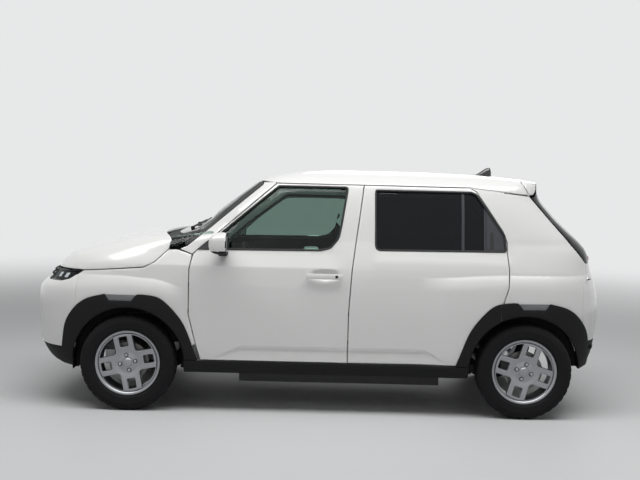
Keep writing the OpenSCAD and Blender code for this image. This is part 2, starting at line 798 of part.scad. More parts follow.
// Lower and upper links carry the steering pivots
link_low = axle_z - 121;
link_high = axle_z + 119;
module front_suspension() {
    color("dimgray") difference() {
        union() {
            translate([front_axle_x - 110, -rail_mid + 30, 190]) cube([220, 2 * rail_mid - 60, 60]);
            for (side = [-1, 1]) {
                translate([front_axle_x - 60, side * rail_mid - 38, 190]) cube([120, 76, 210 - seat_gap]);
                translate([front_axle_x - 30, min(side * (rail_mid - 40), side * pivot_y), link_low])
                    cube([60, pivot_y - rail_mid + 40, 26]);
                translate([front_axle_x, side * pivot_y, link_low]) cylinder(h = 26, r = 30, $fn = 48);
                translate([front_axle_x - 55, min(side * (rail_mid - 40), side * (rail_mid + 64)), 520 + seat_gap])
                    cube([110, 104, 60]);
                translate([front_axle_x - 24, min(side * (rail_mid + 45), side * pivot_y), link_high])
                    cube([48, pivot_y - rail_mid - 45, 24]);
                translate([front_axle_x - 55, min(side * (rail_mid + 40 + seat_gap), side * (rail_mid + 64)), link_high])
                    cube([110, 24 - seat_gap, 580 - link_high]);
                translate([front_axle_x, side * pivot_y, link_high]) cylinder(h = 24, r = 24, $fn = 48);
            }
        }
        for (side = [-1, 1]) translate([front_axle_x, side * pivot_y, link_low - 10])
            cylinder(h = 400, r = 14 + run_gap, $fn = 48);
    }
}

stub_root = wheel_y - 10;
stub_tip = wheel_y + 33;
module caliper() {
    translate([-150, -wheel_y - 38, -10]) cube([62, 20, 90]);
    translate([-150, -wheel_y - 38, -10]) cube([15, 68, 90]);
    translate([-150, -wheel_y + 10, -10]) cube([62, 20, 90]);
    translate([-92, -wheel_y + 10, -10]) cube([70, 20, 60]);
}
module knuckle() {
    color("gray") translate([front_axle_x, 0, axle_z]) {
        translate([-32, -stub_root, -92]) cube([64, 62, 208]);
        translate([0, -pivot_y, -131]) cylinder(h = 290, r = 14, $fn = 48);
        translate([0, -stub_root + 1, 0]) rotate([90, 0, 0]) cylinder(h = stub_tip - stub_root, r = 16, $fn = 48);
        caliper();
    }
}
module knuckle_left() { knuckle(); }
module knuckle_right() { mirror([0, 1, 0]) knuckle(); }

arm_y = wheel_y - 132;
module rear_axle() {
    color("dimgray") {
        translate([rear_axle_x - 190, 0, axle_z - 19]) rotate([90, 0, 0])
            cylinder(h = 2 * arm_y - 16, r = 30, center = true, $fn = 48);
        for (side = [-1, 1]) {
            translate([floor_end + 20 + seat_gap, side * arm_y - 22, axle_z - 47])
                cube([rear_axle_x + 28 - floor_end - 20, 44, 56]);
            translate([rear_axle_x - 190, side * py(400), axle_z - 11])
                cylinder(h = luggage_height - 20 - seat_gap - axle_z + 11, r = 52, $fn = 48);
            mirror([0, side > 0 ? 1 : 0, 0]) translate([rear_axle_x, 0, axle_z]) {
                translate([0, -stub_root, 0]) rotate([-90, 0, 0]) cylinder(h = stub_root - arm_y + 18, r = 44, $fn = 48);
                translate([0, -stub_root + 1, 0]) rotate([90, 0, 0])
                    cylinder(h = stub_tip - stub_root, r = 16, $fn = 48);
                caliper();
            }
        }
    }
}

module tyre_section() {
    w = tyre_width / 2;
    r = tyre_diameter / 2;
    bead = rim_diameter / 2 - 12;
    lip = bead + 12.6;
    polygon([[bead, -w + 32], [lip, -w + 28], [lip, -w + 17], [lip + 10, -w + 9], [r - 62, -w],
        [r - 26, -w + 4], [r - 9, -w + 16], [r, -w + 34], [r, w - 34], [r - 9, w - 16], [r - 26, w - 4],
        [r - 62, w], [lip + 10, w - 9], [lip, w - 17], [lip, w - 28], [bead, w - 32]]);
}
module tyre(x, side) {
    color("black") translate([x, side * wheel_y, axle_z]) rotate([90, 0, 0])
        rotate_extrude($fn = 96) tyre_section();
}
// Rim drawn for a wheel whose outer face points along +Z
module rim_shape(turn) {
    lip = rim_diameter / 2;
    bead = lip - 12;
    w = tyre_width / 2;
    barrel = bead - 14;
    difference() {
        union() {
            rotate_extrude($fn = 96) polygon([[barrel, -w + 20], [lip, -w + 20], [lip, -w + 27],
                [bead - seat_gap, -w + 31], [bead - seat_gap, w - 31], [lip, w - 27], [lip, w - 19],
                [lip - 6, w - 16], [barrel, w - 24]]);
            translate([0, 0, 44]) linear_extrude(24) intersection() {
                circle(r = barrel + 4, $fn = 96);
                union() {
                    circle(r = 82, $fn = 64);
                    for (k = [0:spoke_pairs - 1]) rotate(turn + 360 / spoke_pairs * k) difference() {
                        translate([0, -52]) square([lip, 104]);
                        translate([110, -26]) square([barrel - 124, 52]);
                    }
                }
            }
        }
        for (k = [0:3]) rotate(turn + 90 * k) translate([bolt_circle / 2, 0, 30])
            cylinder(h = 60, r = 7.5, $fn = 32);
        translate([0, 0, 30]) cylinder(h = 60, r = 28, $fn = 48);
    }
}
module rim(x, side, turn) {
    color("gray") translate([x, side * wheel_y, axle_z]) rotate([side < 0 ? 90 : -90, 0, 0]) rim_shape(turn);
}
// Hub with brake disc, bolted behind the rim's face
module hub_shape() {
    difference() {
        union() {
            translate([0, 0, 33]) cylinder(h = 11 - seat_gap, r = 72, $fn = 64);
            translate([0, 0, -8]) cylinder(h = 45, r = 36, $fn = 64);
            translate([0, 0, -6]) cylinder(h = 20, r = 128, $fn = 96);
            translate([0, 0, 40]) cylinder(h = 26, r = 28 - seat_gap, $fn = 48);
        }
        translate([0, 0, -20]) cylinder(h = 54, r = 16 + run_gap, $fn = 48);
    }
}
module hub(x, side) {
    color("silver") translate([x, side * wheel_y, axle_z]) rotate([side < 0 ? 90 : -90, 0, 0]) hub_shape();
}
front_turn = 12;
rear_turn = -17;
module tyre_front_left() { tyre(front_axle_x, -1); }
module rim_front_left() { rim(front_axle_x, -1, front_turn); }
module hub_front_left() { hub(front_axle_x, -1); }
module tyre_front_right() { tyre(front_axle_x, 1); }
module rim_front_right() { rim(front_axle_x, 1, front_turn); }
module hub_front_right() { hub(front_axle_x, 1); }
module tyre_rear_left() { tyre(rear_axle_x, -1); }
module rim_rear_left() { rim(rear_axle_x, -1, rear_turn); }
module hub_rear_left() { hub(rear_axle_x, -1); }
module tyre_rear_right() { tyre(rear_axle_x, 1); }
module rim_rear_right() { rim(rear_axle_x, 1, rear_turn); }
module hub_rear_right() { hub(rear_axle_x, 1); }

wheel_at = [px(1475), -py(360), pz(925)];
wheel_tilt = 25;
column_length = (wheel_at[0] - px(1290)) / cos(wheel_tilt) + 10;
module steering_wheel() {
    color("black") translate(wheel_at) rotate([0, 90 - wheel_tilt, 0]) {
        rotate_extrude($fn = 72) translate([steering_wheel_diameter / 2 - 15, 0]) circle(r = 15, $fn = 32);
        translate([0, 0, -45]) cylinder(h = 40, r = 62, $fn = 48);
        for (a = [0, 90, 270]) rotate(a) translate([40, -20, -22])
            cube([steering_wheel_diameter / 2 - 50, 40, 18]);
        translate([0, 0, -column_length]) cylinder(h = column_length - 20, r = 20, $fn = 48);
    }
}
module dashboard() {
    color("dimgray") difference() {
        union() {
            translate([bulkhead_x + 22 + seat_gap, -py(592), pz(640)])
                cube([px(1290) - bulkhead_x - 22, py(1184), pz(1030) - pz(640)]);
            translate([px(1280), -py(580), pz(740)]) cube([px(1340) - px(1280), py(1160), pz(1000) - pz(740)]);
        }
        translate(wheel_at) rotate([0, 90 - wheel_tilt, 0]) translate([0, 0, -column_length - 6])
            cylinder(h = column_length + 6, r = 20 + run_gap, $fn = 48);
    }
}
module front_seat() {
    seat = floor_height + seat_gap;
    translate([px(1640), -seat_width / 2 + 40, seat]) cube([px(2040) - px(1640), seat_width - 80, 190]);
    hull() for (d = [1600, 2040], y = [-1, 1])
        translate([px(d), y * (seat_width / 2 - 45), seat + 215]) sphere(45, $fn = 12);
    hull() for (p = [[2050, 245], [2190, 765]], y = [-1, 1])
        translate([px(p[0]), y * (seat_width / 2 - 50), seat + p[1]]) sphere(48, $fn = 12);
    hull() for (p = [[2202, 845], [2222, 925]], y = [-1, 1])
        translate([px(p[0]), y * 85, seat + p[1]]) sphere(38, $fn = 12);
    translate([px(2186), -60, seat + 765]) cube([20, 120, 90]);
}
module front_seats() {
    color("gray") both_sides() pressed() translate([0, -py(355), 0]) front_seat();
}
module rear_seat() {
    bench = floor_height + seat_gap;
    color("gray") pressed() {
        translate([px(2538), -py(540), bench]) cube([floor_end - seat_gap - px(2538), py(1080), 140]);
        hull() for (x = [px(2520), floor_end - seat_gap - 45], y = [-1, 1])
            translate([x, y * py(530), bench + 165]) sphere(45, $fn = 12);
        translate([floor_end - 70, -py(440), luggage_height + seat_gap]) cube([90, py(880), 60]);
        translate([floor_end - 70, -py(440), bench + 120])
            cube([70 - seat_gap, py(880), luggage_height + 60 - bench - 120]);
        hull() for (p = [[floor_end + 5, luggage_height + 52], [px(2958), pz(1060)]], y = [-1, 1])
            translate([p[0], y * py(430), p[1]]) sphere(50, $fn = 12);
    }
}

floor_pan();
wheelhouses();
bulkhead();
body_side_left();
body_side_right();
roof();
windscreen();
front_fenders();
front_bumper();
rear_bumper();
lower_valances();
grille();
headlamps();
claddings();
dashboard();
front_seats();
rear_seat();
battery_pack();
drive_unit();
front_suspension();
rear_axle();
wipers();
antenna();
steering_wheel();
knuckle_left();
knuckle_right();
tyre_front_left();
rim_front_left();
hub_front_left();
tyre_front_right();
rim_front_right();
hub_front_right();
tyre_rear_left();
rim_rear_left();
hub_rear_left();
tyre_rear_right();
rim_rear_right();
hub_rear_right();
door_front_left();
window_front_left();
fittings_left();
door_front_right();
window_front_right();
fittings_right();
door_rear_left();
window_rear_left();
door_cladding_left();
door_rear_right();
window_rear_right();
door_cladding_right();
tailgate();
tailgate_glass();
tail_lamps();
hood();
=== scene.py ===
import math

import bpy
import bmesh
import numpy as np
from mathutils import Matrix, Vector
from mathutils.geometry import delaunay_2d_cdt


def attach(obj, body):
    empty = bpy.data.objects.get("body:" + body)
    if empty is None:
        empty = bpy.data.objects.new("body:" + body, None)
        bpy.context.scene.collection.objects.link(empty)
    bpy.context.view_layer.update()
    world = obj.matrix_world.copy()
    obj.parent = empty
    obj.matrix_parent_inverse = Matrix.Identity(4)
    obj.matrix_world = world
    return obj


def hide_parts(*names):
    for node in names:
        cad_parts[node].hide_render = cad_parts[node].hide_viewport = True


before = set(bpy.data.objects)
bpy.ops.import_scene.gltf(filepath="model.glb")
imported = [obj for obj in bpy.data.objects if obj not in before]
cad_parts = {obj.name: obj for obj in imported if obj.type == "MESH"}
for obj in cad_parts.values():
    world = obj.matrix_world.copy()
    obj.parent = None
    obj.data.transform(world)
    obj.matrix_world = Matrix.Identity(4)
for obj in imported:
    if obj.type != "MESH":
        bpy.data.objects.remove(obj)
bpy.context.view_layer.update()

# Camera and light: the car is seen from its left at eye height with a slight roll, under one wide
# soft panel overhead and two upright soft panels, before a plain pale backdrop.
EYE, LOOK_DOWN, ROLL = (0.01, -7.785, 1.60), 3.75, 1.36
BACKDROP = (0.80, 0.805, 0.81, 1)


def added(name, data):
    """A new object in the scene."""
    made = bpy.data.objects.new(name, data)
    bpy.context.collection.objects.link(made)
    return made


camera = bpy.data.cameras.new("camera")
camera.lens, camera.sensor_width = 61.3, 36.0
camera_object = added("camera", camera)
camera_object.matrix_world = (Matrix.Translation(EYE)
                              @ Matrix.Rotation(math.radians(90 - LOOK_DOWN), 4, "X")
                              @ Matrix.Rotation(math.radians(ROLL), 4, "Z"))
bpy.context.scene.camera = camera_object
bpy.context.scene.view_settings.view_transform = "Standard"


def soft_panel(name, place, target, size, power):
    """A wide soft lamp at a place, facing a target."""
    light = bpy.data.lights.new(name, "AREA")
    light.shape, light.size, light.size_y, light.energy = "RECTANGLE", size[0], size[1], power
    lamp = added(name, light)
    lamp.location = place
    lamp.rotation_euler = (Vector(target) - Vector(place)).to_track_quat("-Z", "Y").to_euler()


soft_panel("panel_above", (0, -2.0, 5.6), (0, -1.6, 0), (8.0, 2.6), 330)
soft_panel("panel_left", (-3.0, -7.5, 3.4), (0, 0, 0.7), (5.0, 2.2), 5)
soft_panel("panel_right", (2.5, 7.5, 3.6), (0, 0, 0.7), (6.0, 2.4), 60)
world = bpy.data.worlds.new("room")
world.use_nodes = True
bpy.context.scene.world = world
world_nodes = world.node_tree.nodes
room, backdrop = world_nodes["Background"], world_nodes.new("ShaderNodeBackground")
room.inputs["Color"].default_value = (0.78, 0.79, 0.80, 1)
room.inputs["Strength"].default_value = 0.15
backdrop.inputs["Color"].default_value = BACKDROP


def wire(tree, *pairs):
    """Join outputs of nodes to inputs."""
    for source, target in pairs:
        tree.links.new(source, target)


rays, chosen = world_nodes.new("ShaderNodeLightPath"), world_nodes.new("ShaderNodeMixShader")
seen = rays.outputs["Is Camera Ray"]
for kind in ("Is Glossy Ray", "Is Transmission Ray"):
    either = world_nodes.new("ShaderNodeMath")
    either.operation, either.use_clamp = "ADD", True
    wire(world.node_tree, (seen, either.inputs[0]), (rays.outputs[kind], either.inputs[1]))
    seen = either.outputs[0]
wire(world.node_tree, (seen, chosen.inputs["Fac"]), (room.outputs["Background"], chosen.inputs[1]),
     (backdrop.outputs["Background"], chosen.inputs[2]),
     (chosen.outputs["Shader"], world_nodes["World Output"].inputs["Surface"]))

# Floor: smooth pale concrete with a faint mottle. Far from the car it passes into the backdrop's
# colour, so that no horizon shows.
FLOOR_REACH, FADE_FROM, FADE_TO = 60, 3.2, 13.0
floor_corners = [(a * FLOOR_REACH, b * FLOOR_REACH, 0) for a, b in ((-1, -1), (1, -1), (1, 1), (-1, 1))]
floor_mesh = bpy.data.meshes.new("floor")
floor_mesh.from_pydata(floor_corners, [], [(0, 1, 2, 3)])
floor_object = added("floor", floor_mesh)
floor_material = bpy.data.materials.new("pale_floor")
floor_material.use_nodes = True
floor_nodes = floor_material.node_tree.nodes
floor_shader = floor_nodes["Principled BSDF"]
floor_shader.inputs["Roughness"].default_value = 0.6
mottle, floor_tone = floor_nodes.new("ShaderNodeTexNoise"), floor_nodes.new("ShaderNodeMix")
mottle.inputs["Scale"].default_value = 1.6
floor_tone.data_type = "RGBA"
floor_tone.inputs["A"].default_value = (0.60, 0.605, 0.61, 1)
floor_tone.inputs["B"].default_value = (0.66, 0.665, 0.67, 1)
floor_place, floor_far = floor_nodes.new("ShaderNodeTexCoord"), floor_nodes.new("ShaderNodeVectorMath")
floor_far.operation = "LENGTH"
fade = floor_nodes.new("ShaderNodeMapRange")
fade.interpolation_type = "SMOOTHERSTEP"
fade.inputs["From Min"].default_value, fade.inputs["From Max"].default_value = FADE_FROM, FADE_TO
glow, blended = floor_nodes.new("ShaderNodeEmission"), floor_nodes.new("ShaderNodeMixShader")
glow.inputs["Color"].default_value = BACKDROP
wire(floor_material.node_tree, (mottle.outputs["Fac"], floor_tone.inputs["Factor"]),
     (floor_tone.outputs["Result"], floor_shader.inputs["Base Color"]),
     (floor_place.outputs["Object"], floor_far.inputs[0]),
     (floor_far.outputs["Value"], fade.inputs["Value"]),
     (fade.outputs["Result"], blended.inputs["Fac"]), (floor_shader.outputs["BSDF"], blended.inputs[1]),
     (glow.outputs["Emission"], blended.inputs[2]),
     (blended.outputs["Shader"], floor_nodes["Material Output"].inputs["Surface"]))
floor_mesh.materials.append(floor_material)

# Fixed body side: front pillar, sill, door frame and rear quarter, pressed from steel sheet and
# painted white with a clear coat. The skin follows one table of levels for the whole body.
LENGTH = 3825.0
NOSE_X = -LENGTH / 2
SIDES = ((-1, "left"), (1, "right"))
FRONT_AXLE, REAR_AXLE, AXLE_Z, ARCH_R = -1222.5, 1357.5, 311.0, 372.0
# height, nose end and tail end counted from the nose, half width
LEVELS = [
    (235, 220, 3675, 708), (270, 122, 3720, 745), (340, 54, 3762, 762), (450, 10, 3799, 774),
    (700, 0, 3825, 783), (767, 10, 3820, 782.5), (800, 34, 3815, 782), (824, 64, 3810, 782),
    (850, 90, 3803, 781), (870, 104, 3796, 780), (902, 130, 3788, 778.5), (915, 138, 3785, 778),
    (926, 150, 3780, 777), (955, 180, 3769, 775), (967, 195, 3767, 770), (989, 222, 3764, 760),
    (1028, 316, 3759, 742.5), (1045, 366, 3757, 735), (1060, 418, 3752, 731),
    (1087, 526, 3742, 724.5),
    (1116, 645, 3723, 717.5), (1134, 790, 3706, 713), (1150, 925, 3690, 709.5),
    (1165, 1027, 3674, 706),
    (1330, 1247, 3502, 665), (1460, 1421, 3406, 621), (1500, 1478, 3400, 599), (1530, 1545, 3418, 558),
    (1555, 1640, 3295, 493), (1577, 1780, 3045, 370), (1592, 2150, 2525, 103), (1593, 2337, 2338, 0)]
# powers of the plan outline along and across the car
NOSE_ROUND, TAIL_ROUND = (8.0, 3.5), (9.0, 4.5)


def monotone(xs, ys, at):
    """Smooth curve through a table without overshoot."""
    h, d = np.diff(xs), np.diff(ys) / np.diff(xs)
    m = np.concatenate([[d[0]], np.zeros(len(xs) - 2), [d[-1]]])
    same = d[:-1] * d[1:] > 0
    safe_a, safe_b = np.where(same, d[:-1], 1), np.where(same, d[1:], 1)
    wa, wb = 2 * h[1:] + h[:-1], h[1:] + 2 * h[:-1]
    m[1:-1] = np.where(same, (wa + wb) / (wa / safe_a + wb / safe_b), 0)
    k = np.clip(np.searchsorted(xs, at) - 1, 0, len(xs) - 2)
    t = (at - xs[k]) / h[k]
    return (ys[k] * (1 + 2 * t) * (1 - t) ** 2 + m[k] * h[k] * t * (1 - t) ** 2
            + ys[k + 1] * t * t * (3 - 2 * t) + m[k + 1] * h[k] * t * t * (t - 1))


def smooth_levels():
    """The table carried on over the roof's middle and read finely along the section."""
    rows = np.array(LEVELS, float)
    rows = np.vstack([rows, rows[-2] * [1, 0, 0, -1] + [0, 2525, 2150, 0]])
    run = np.concatenate([[0], np.cumsum(np.hypot(np.diff(rows[:, 0]), np.diff(rows[:, 3])))])
    at = np.linspace(0, run[-2], 3000)
    return [monotone(run, rows[:, k], at) for k in range(4)]


HEIGHT, NOSE_END, TAIL_END, HALF = smooth_levels()
SMOOTH_SIDE = ([900, 955, 1000, 1045, 1090, 1130], [779, 772, 759, 744, 729, 714])
REAR_LEDGE = ([900, 955, 1004, 1016, 1070, 1130], [779, 773, 763, 757, 731, 714])


def step(a, b, t):
    """Soft rise from 0 at a to 1 at b."""
    t = np.clip((t - a) / (b - a), 0, 1)
    return t * t * (3 - 2 * t)


def half_width(x, z):
    """Half width of the body: a ledge runs under the windows and fades out at the pillars."""
    plain = np.interp(z, HEIGHT, HALF)
    inside = (z > 900) & (z < 1130)
    smooth, ledge = np.interp(z, *SMOOTH_SIDE), np.interp(z, *REAR_LEDGE)
    rear = step(335, 395, x) * (1 - step(1235, 1300, x))
    side = smooth + (ledge - smooth) * rear
    return np.where(inside, plain + (side - plain) * step(70, 190, x), plain)


SWELL_HEIGHT = 82


def crease(x, front):
    """Height of the line where the swelling over a wheel starts."""
    if front:
        return 880 - 14 * step(-1300, -1060, x) - 56 * step(-1090, -830, x)
    return 910 + 28 * step(700, 1250, x)


def bulge(x, z):
    """Swelling of the skin over the front and rear wheels: it leaves the side at a crease."""
    front = 23 * step(-1860, -1560, x) * (1 - step(-1010, -830, x))
    rear = 24 * step(620, 900, x)

    def below(is_front):
        return 1 - (1 - np.clip((crease(x, is_front) - z) / SWELL_HEIGHT, 0, 1)) ** 2
    return (front * below(True) + rear * below(False)) * step(240, 330, z)


def recess_ends(z):
    """Slanted front and rear end of the recess along the foot of the doors."""
    return -505 - (432 - z) * 2.1, 725 + (432 - z) * 1.63


def door_press(x, z):
    """Slanted recess along the foot of the doors and the bowl behind the pull handle."""
    left, right = recess_ends(z)
    face = np.clip((z - 345) / 80, 0, 1) * (1 - step(425, 441, z))
    recess = 14 * face * step(0, 12, x - left) * step(0, 12, right - x)
    bowl = 15 * np.clip(1 - ((x - 52) / 96) ** 2 - ((z - 913) / 40) ** 2, 0, 1) ** 0.7
    return recess + bowl


def ends(z):
    """Nose, tail and widest place of the body at a height."""
    nose, tail = NOSE_X + np.interp(z, HEIGHT, NOSE_END), NOSE_X + np.interp(z, HEIGHT, TAIL_END)
    return nose, tail, nose + np.maximum(-nose, 0.4 * (tail - nose) - 80)


def side_y(x, z):
    """Half width of the pressed body at x and z."""
    nose, tail, middle = ends(z)
    front = x < middle
    share = np.clip(np.where(front, (middle - x) / (middle - nose), (x - middle) / (tail - middle)), 0, 1)
    lengthwise, across = (np.where(front, a, b) for a, b in zip(NOSE_ROUND, TAIL_ROUND))
    v = (1 - share ** lengthwise) ** (1 / across)
    return half_width(x, z) * v + bulge(x, z) * v ** 4 - door_press(x, z) * v


def side_skin(side, pressed=True):
    """Side of the body in side view: x and z give y, with or without the doors' recesses."""
    def at(a, b):
        return np.stack([a, side * (side_y(a, b) + (0 if pressed else door_press(a, b))), b], axis=1)
    return at


def inside_loop(points, loop):
    """Which points lie inside a closed outline."""
    x, y = points[:, 0], points[:, 1]
    hit = np.zeros(len(points), bool)
    for (x0, y0), (x1, y1) in zip(loop, np.roll(loop, -1, axis=0)):
        if y0 != y1:
            hit ^= ((y0 > y) != (y1 > y)) & (x < (x1 - x0) * (y - y0) / (y1 - y0) + x0)
    return hit


def distinct(loop):
    """Outline without points that repeat the one before."""
    loop = np.asarray(loop, float)
    return loop[np.linalg.norm(loop - np.roll(loop, 1, axis=0), axis=1) > 0.05]


def rounded(corners, radius):
    """Outline with a small arc at each corner; radius is one number or one for each corner."""
    pts = np.array(corners, float) if np.ndim(radius) else distinct(corners)
    radii = np.broadcast_to(np.array(radius, float), (len(pts),))
    out = []
    for k, p in enumerate(pts):
        a, b = pts[k - 1] - p, pts[(k + 1) % len(pts)] - p
        la, lb = np.linalg.norm(a), np.linalg.norm(b)
        a, b = a / la, b / lb
        half = math.acos(float(np.clip(a @ b, -1, 1))) / 2
        reach = min(radii[k] / max(math.tan(half), 1e-3), 0.45 * la, 0.45 * lb)
        if half > 1.5 or reach < 0.3:
            out.append(p)
            continue
        for t in np.linspace(0, 1, 6):
            out.append(p + a * reach * (1 - t) ** 2 + b * reach * t ** 2)
    return np.array(out)


def spaced(loop, pitch):
    """Closed outline with more points, none further apart than the pitch."""
    out = []
    loop = distinct(loop)
    for p, q in zip(loop, np.roll(loop, -1, axis=0)):
        n = max(1, int(math.ceil(np.linalg.norm(q - p) / pitch)))
        out += [p + (q - p) * k / n for k in range(n)]
    return np.array(out)


def shrunk(loop, amount):
    """Outline moved towards its own inside."""
    loop = distinct(loop)
    area = np.sum(loop[:, 0] * np.roll(loop[:, 1], -1) - loop[:, 1] * np.roll(loop[:, 0], -1))
    way = np.roll(loop, -1, axis=0) - np.roll(loop, 1, axis=0)
    way /= np.maximum(np.linalg.norm(way, axis=1), 1e-9)[:, None]
    normal = np.stack([-way[:, 1], way[:, 0]], axis=1) * (1 if area > 0 else -1)
    return loop + normal * amount


BODY_CORE = [0, 0, 700]


def normal_to(skin, a, b):
    """Unit normals of a skin, from its slopes both ways."""
    e = 2.0
    n = np.cross(skin(a + e, b) - skin(a - e, b), skin(a, b + e) - skin(a, b - e))
    return n / np.maximum(np.linalg.norm(n, axis=1), 1e-9)[:, None]


def pressing(loops, skin, depth, pitch=17.0, lift=0.0, roll=1.8, lines=()):
    """A sheet pressing as a closed shell: outline and holes on a skin, rolled edges, a back.
    Returns corner points in millimetres and faces. Lines are folds that the mesh follows."""
    loops = [spaced(np.array(loop, float), pitch) for loop in loops]
    edges2d, points, start = [], [], 0
    faces_of = [shrunk(loop, roll if k == 0 else -roll) for k, loop in enumerate(loops)]
    for loop in faces_of:
        points.append(loop)
        edges2d += [(start + k, start + (k + 1) % len(loop)) for k in range(len(loop))]
        start += len(loop)

    def within(points):
        hit = inside_loop(points, faces_of[0])
        for hole in faces_of[1:]:
            hit &= ~inside_loop(points, hole)
        return hit

    low, high = faces_of[0].min(axis=0), faces_of[0].max(axis=0)
    gx, gy = np.meshgrid(np.arange(low[0], high[0], pitch), np.arange(low[1], high[1], pitch))
    gx[1::2] += pitch / 2
    grid = np.stack([gx.ravel(), gy.ravel()], axis=1)
    for line in lines:
        grid = np.vstack([grid, line])
    border = np.vstack(faces_of)
    grid = grid[within(grid)]
    if len(grid):
        near = np.array([np.min(np.sum((border - p) ** 2, axis=1)) for p in grid])
        grid = grid[near > (0.55 * pitch) ** 2]
        points.append(grid)
    flat = np.vstack(points)
    made = delaunay_2d_cdt([Vector(p) for p in flat], edges2d, [], 0, 1e-4)
    flat = np.array([tuple(p) for p in made[0]])
    index = {o: k for k, originals in enumerate(made[3]) for o in originals}
    tris = np.array([t for t in made[2] if len(t) == 3])
    tris = tris[within(flat[tris].mean(axis=1))]

    def placed(uv):
        p, n = skin(*uv.T), normal_to(skin, *uv.T)
        if np.sum(n * (p - BODY_CORE)) < 0:
            n = -n
        return p + n * lift, n

    face, n = placed(flat)
    back = face - n * depth
    a, b, c = face[tris[:, 0]], face[tris[:, 1]], face[tris[:, 2]]
    if np.sum(np.cross(b - a, c - a) * n[tris[:, 0]]) < 0:
        tris = tris[:, ::-1]
    count = len(flat)
    verts, faces = [face, back], tris.tolist() + (tris[:, ::-1] + count).tolist()
    total = 2 * count
    start = 0
    for loop, inner in zip(loops, faces_of):
        m = len(loop)
        edge, en = placed(loop)
        corner, cn = placed(loop + (inner - loop) * 0.3)
        own = np.array([index[start + k] for k in range(m)])
        rows = [own] + [total + k * m + np.arange(m) for k in range(3)] + [own + count]
        verts += [corner - cn * roll * 0.3, edge - en * roll, edge - en * max(depth - roll, roll + 0.2)]
        total += 3 * m
        start += m
        for upper, lower in zip(rows, rows[1:]):
            for k in range(m):
                j = (k + 1) % m
                faces.append((upper[k], upper[j], lower[j], lower[k]))
    verts = np.vstack(verts)
    quads = len(tris) * 2
    first = np.array(faces[quads])
    # the first wall face has to turn the way its neighbour on the sheet does
    pair = {(int(t[k]), int(t[(k + 1) % 3])) for t in tris for k in range(3)}
    if (int(first[0]), int(first[1])) in pair:
        faces[quads:] = [f[::-1] for f in faces[quads:]]
    return verts, faces


def sheet(coat, skin, depth, *loops, **make):
    """A pressing with its finish: outline first, then holes."""
    return (*pressing(loops, skin, depth, **make), coat)


def piece(name, body, parts, nodes=(), slot=None, crisp=38):
    """One object from parts: corner points in millimetres, faces, one material or one a face."""
    verts, faces, slots, marks = [], [], [], []
    total = 0
    for points, polygons, material in parts:
        coats = material if isinstance(material, list) else [material] * len(polygons)
        slots += [m for m in dict.fromkeys(coats) if m not in slots]
        verts.append(np.asarray(points, float) * 0.001)
        faces += [tuple(int(i) + total for i in f) for f in polygons]
        marks += [slots.index(m) for m in coats]
        total += len(points)
    mesh = bpy.data.meshes.new(name)
    mesh.from_pydata(np.vstack(verts).tolist(), [], faces)
    for material in slots:
        mesh.materials.append(material)
    mesh.polygons.foreach_set("material_index", marks)
    mesh.shade_smooth()
    mesh.set_sharp_from_angle(angle=math.radians(crisp))
    mesh.validate()
    made = added(name, mesh)
    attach(made, body)
    if nodes:
        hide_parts(*nodes)
    return made


def surface_group():
    """Shared fine texture of moulded, painted and cast surfaces: tone, roughness and height."""
    group = bpy.data.node_groups.new("fine_surface", "ShaderNodeTree")
    for label, value in (("Grain Scale", 400.0), ("Patch Scale", 3.0), ("Tone Spread", 0.04),
                         ("Roughness", 0.4), ("Roughness Spread", 0.06)):
        socket = group.interface.new_socket(label, in_out="INPUT", socket_type="NodeSocketFloat")
        socket.default_value = value
    for label in ("Tone", "Roughness", "Height"):
        group.interface.new_socket(label, in_out="OUTPUT", socket_type="NodeSocketFloat")
    nodes = group.nodes
    given, out = nodes.new("NodeGroupInput"), nodes.new("NodeGroupOutput")
    place = nodes.new("ShaderNodeTexCoord")
    grain, patch = nodes.new("ShaderNodeTexNoise"), nodes.new("ShaderNodeTexNoise")
    grain.inputs["Detail"].default_value, patch.inputs["Detail"].default_value = 2.0, 4.0
    for noise, label in ((grain, "Grain Scale"), (patch, "Patch Scale")):
        wire(group, (place.outputs["Object"], noise.inputs["Vector"]),
             (given.outputs[label], noise.inputs["Scale"]))

    def spread(source, amount, centre):
        shifted = nodes.new("ShaderNodeMath")
        shifted.operation = "SUBTRACT"
        shifted.inputs[1].default_value = 0.5
        scaled = nodes.new("ShaderNodeMath")
        scaled.operation = "MULTIPLY_ADD"
        wire(group, (source, shifted.inputs[0]), (shifted.outputs[0], scaled.inputs[0]),
             (amount, scaled.inputs[1]))
        if isinstance(centre, float):
            scaled.inputs[2].default_value = centre
        else:
            wire(group, (centre, scaled.inputs[2]))
        return scaled.outputs[0]
    tone = spread(patch.outputs["Fac"], given.outputs["Tone Spread"], 1.0)
    rough = spread(grain.outputs["Fac"], given.outputs["Roughness Spread"], given.outputs["Roughness"])
    wire(group, (tone, out.inputs["Tone"]), (rough, out.inputs["Roughness"]),
         (grain.outputs["Fac"], out.inputs["Height"]))
    return group


FINE_SURFACE = surface_group()


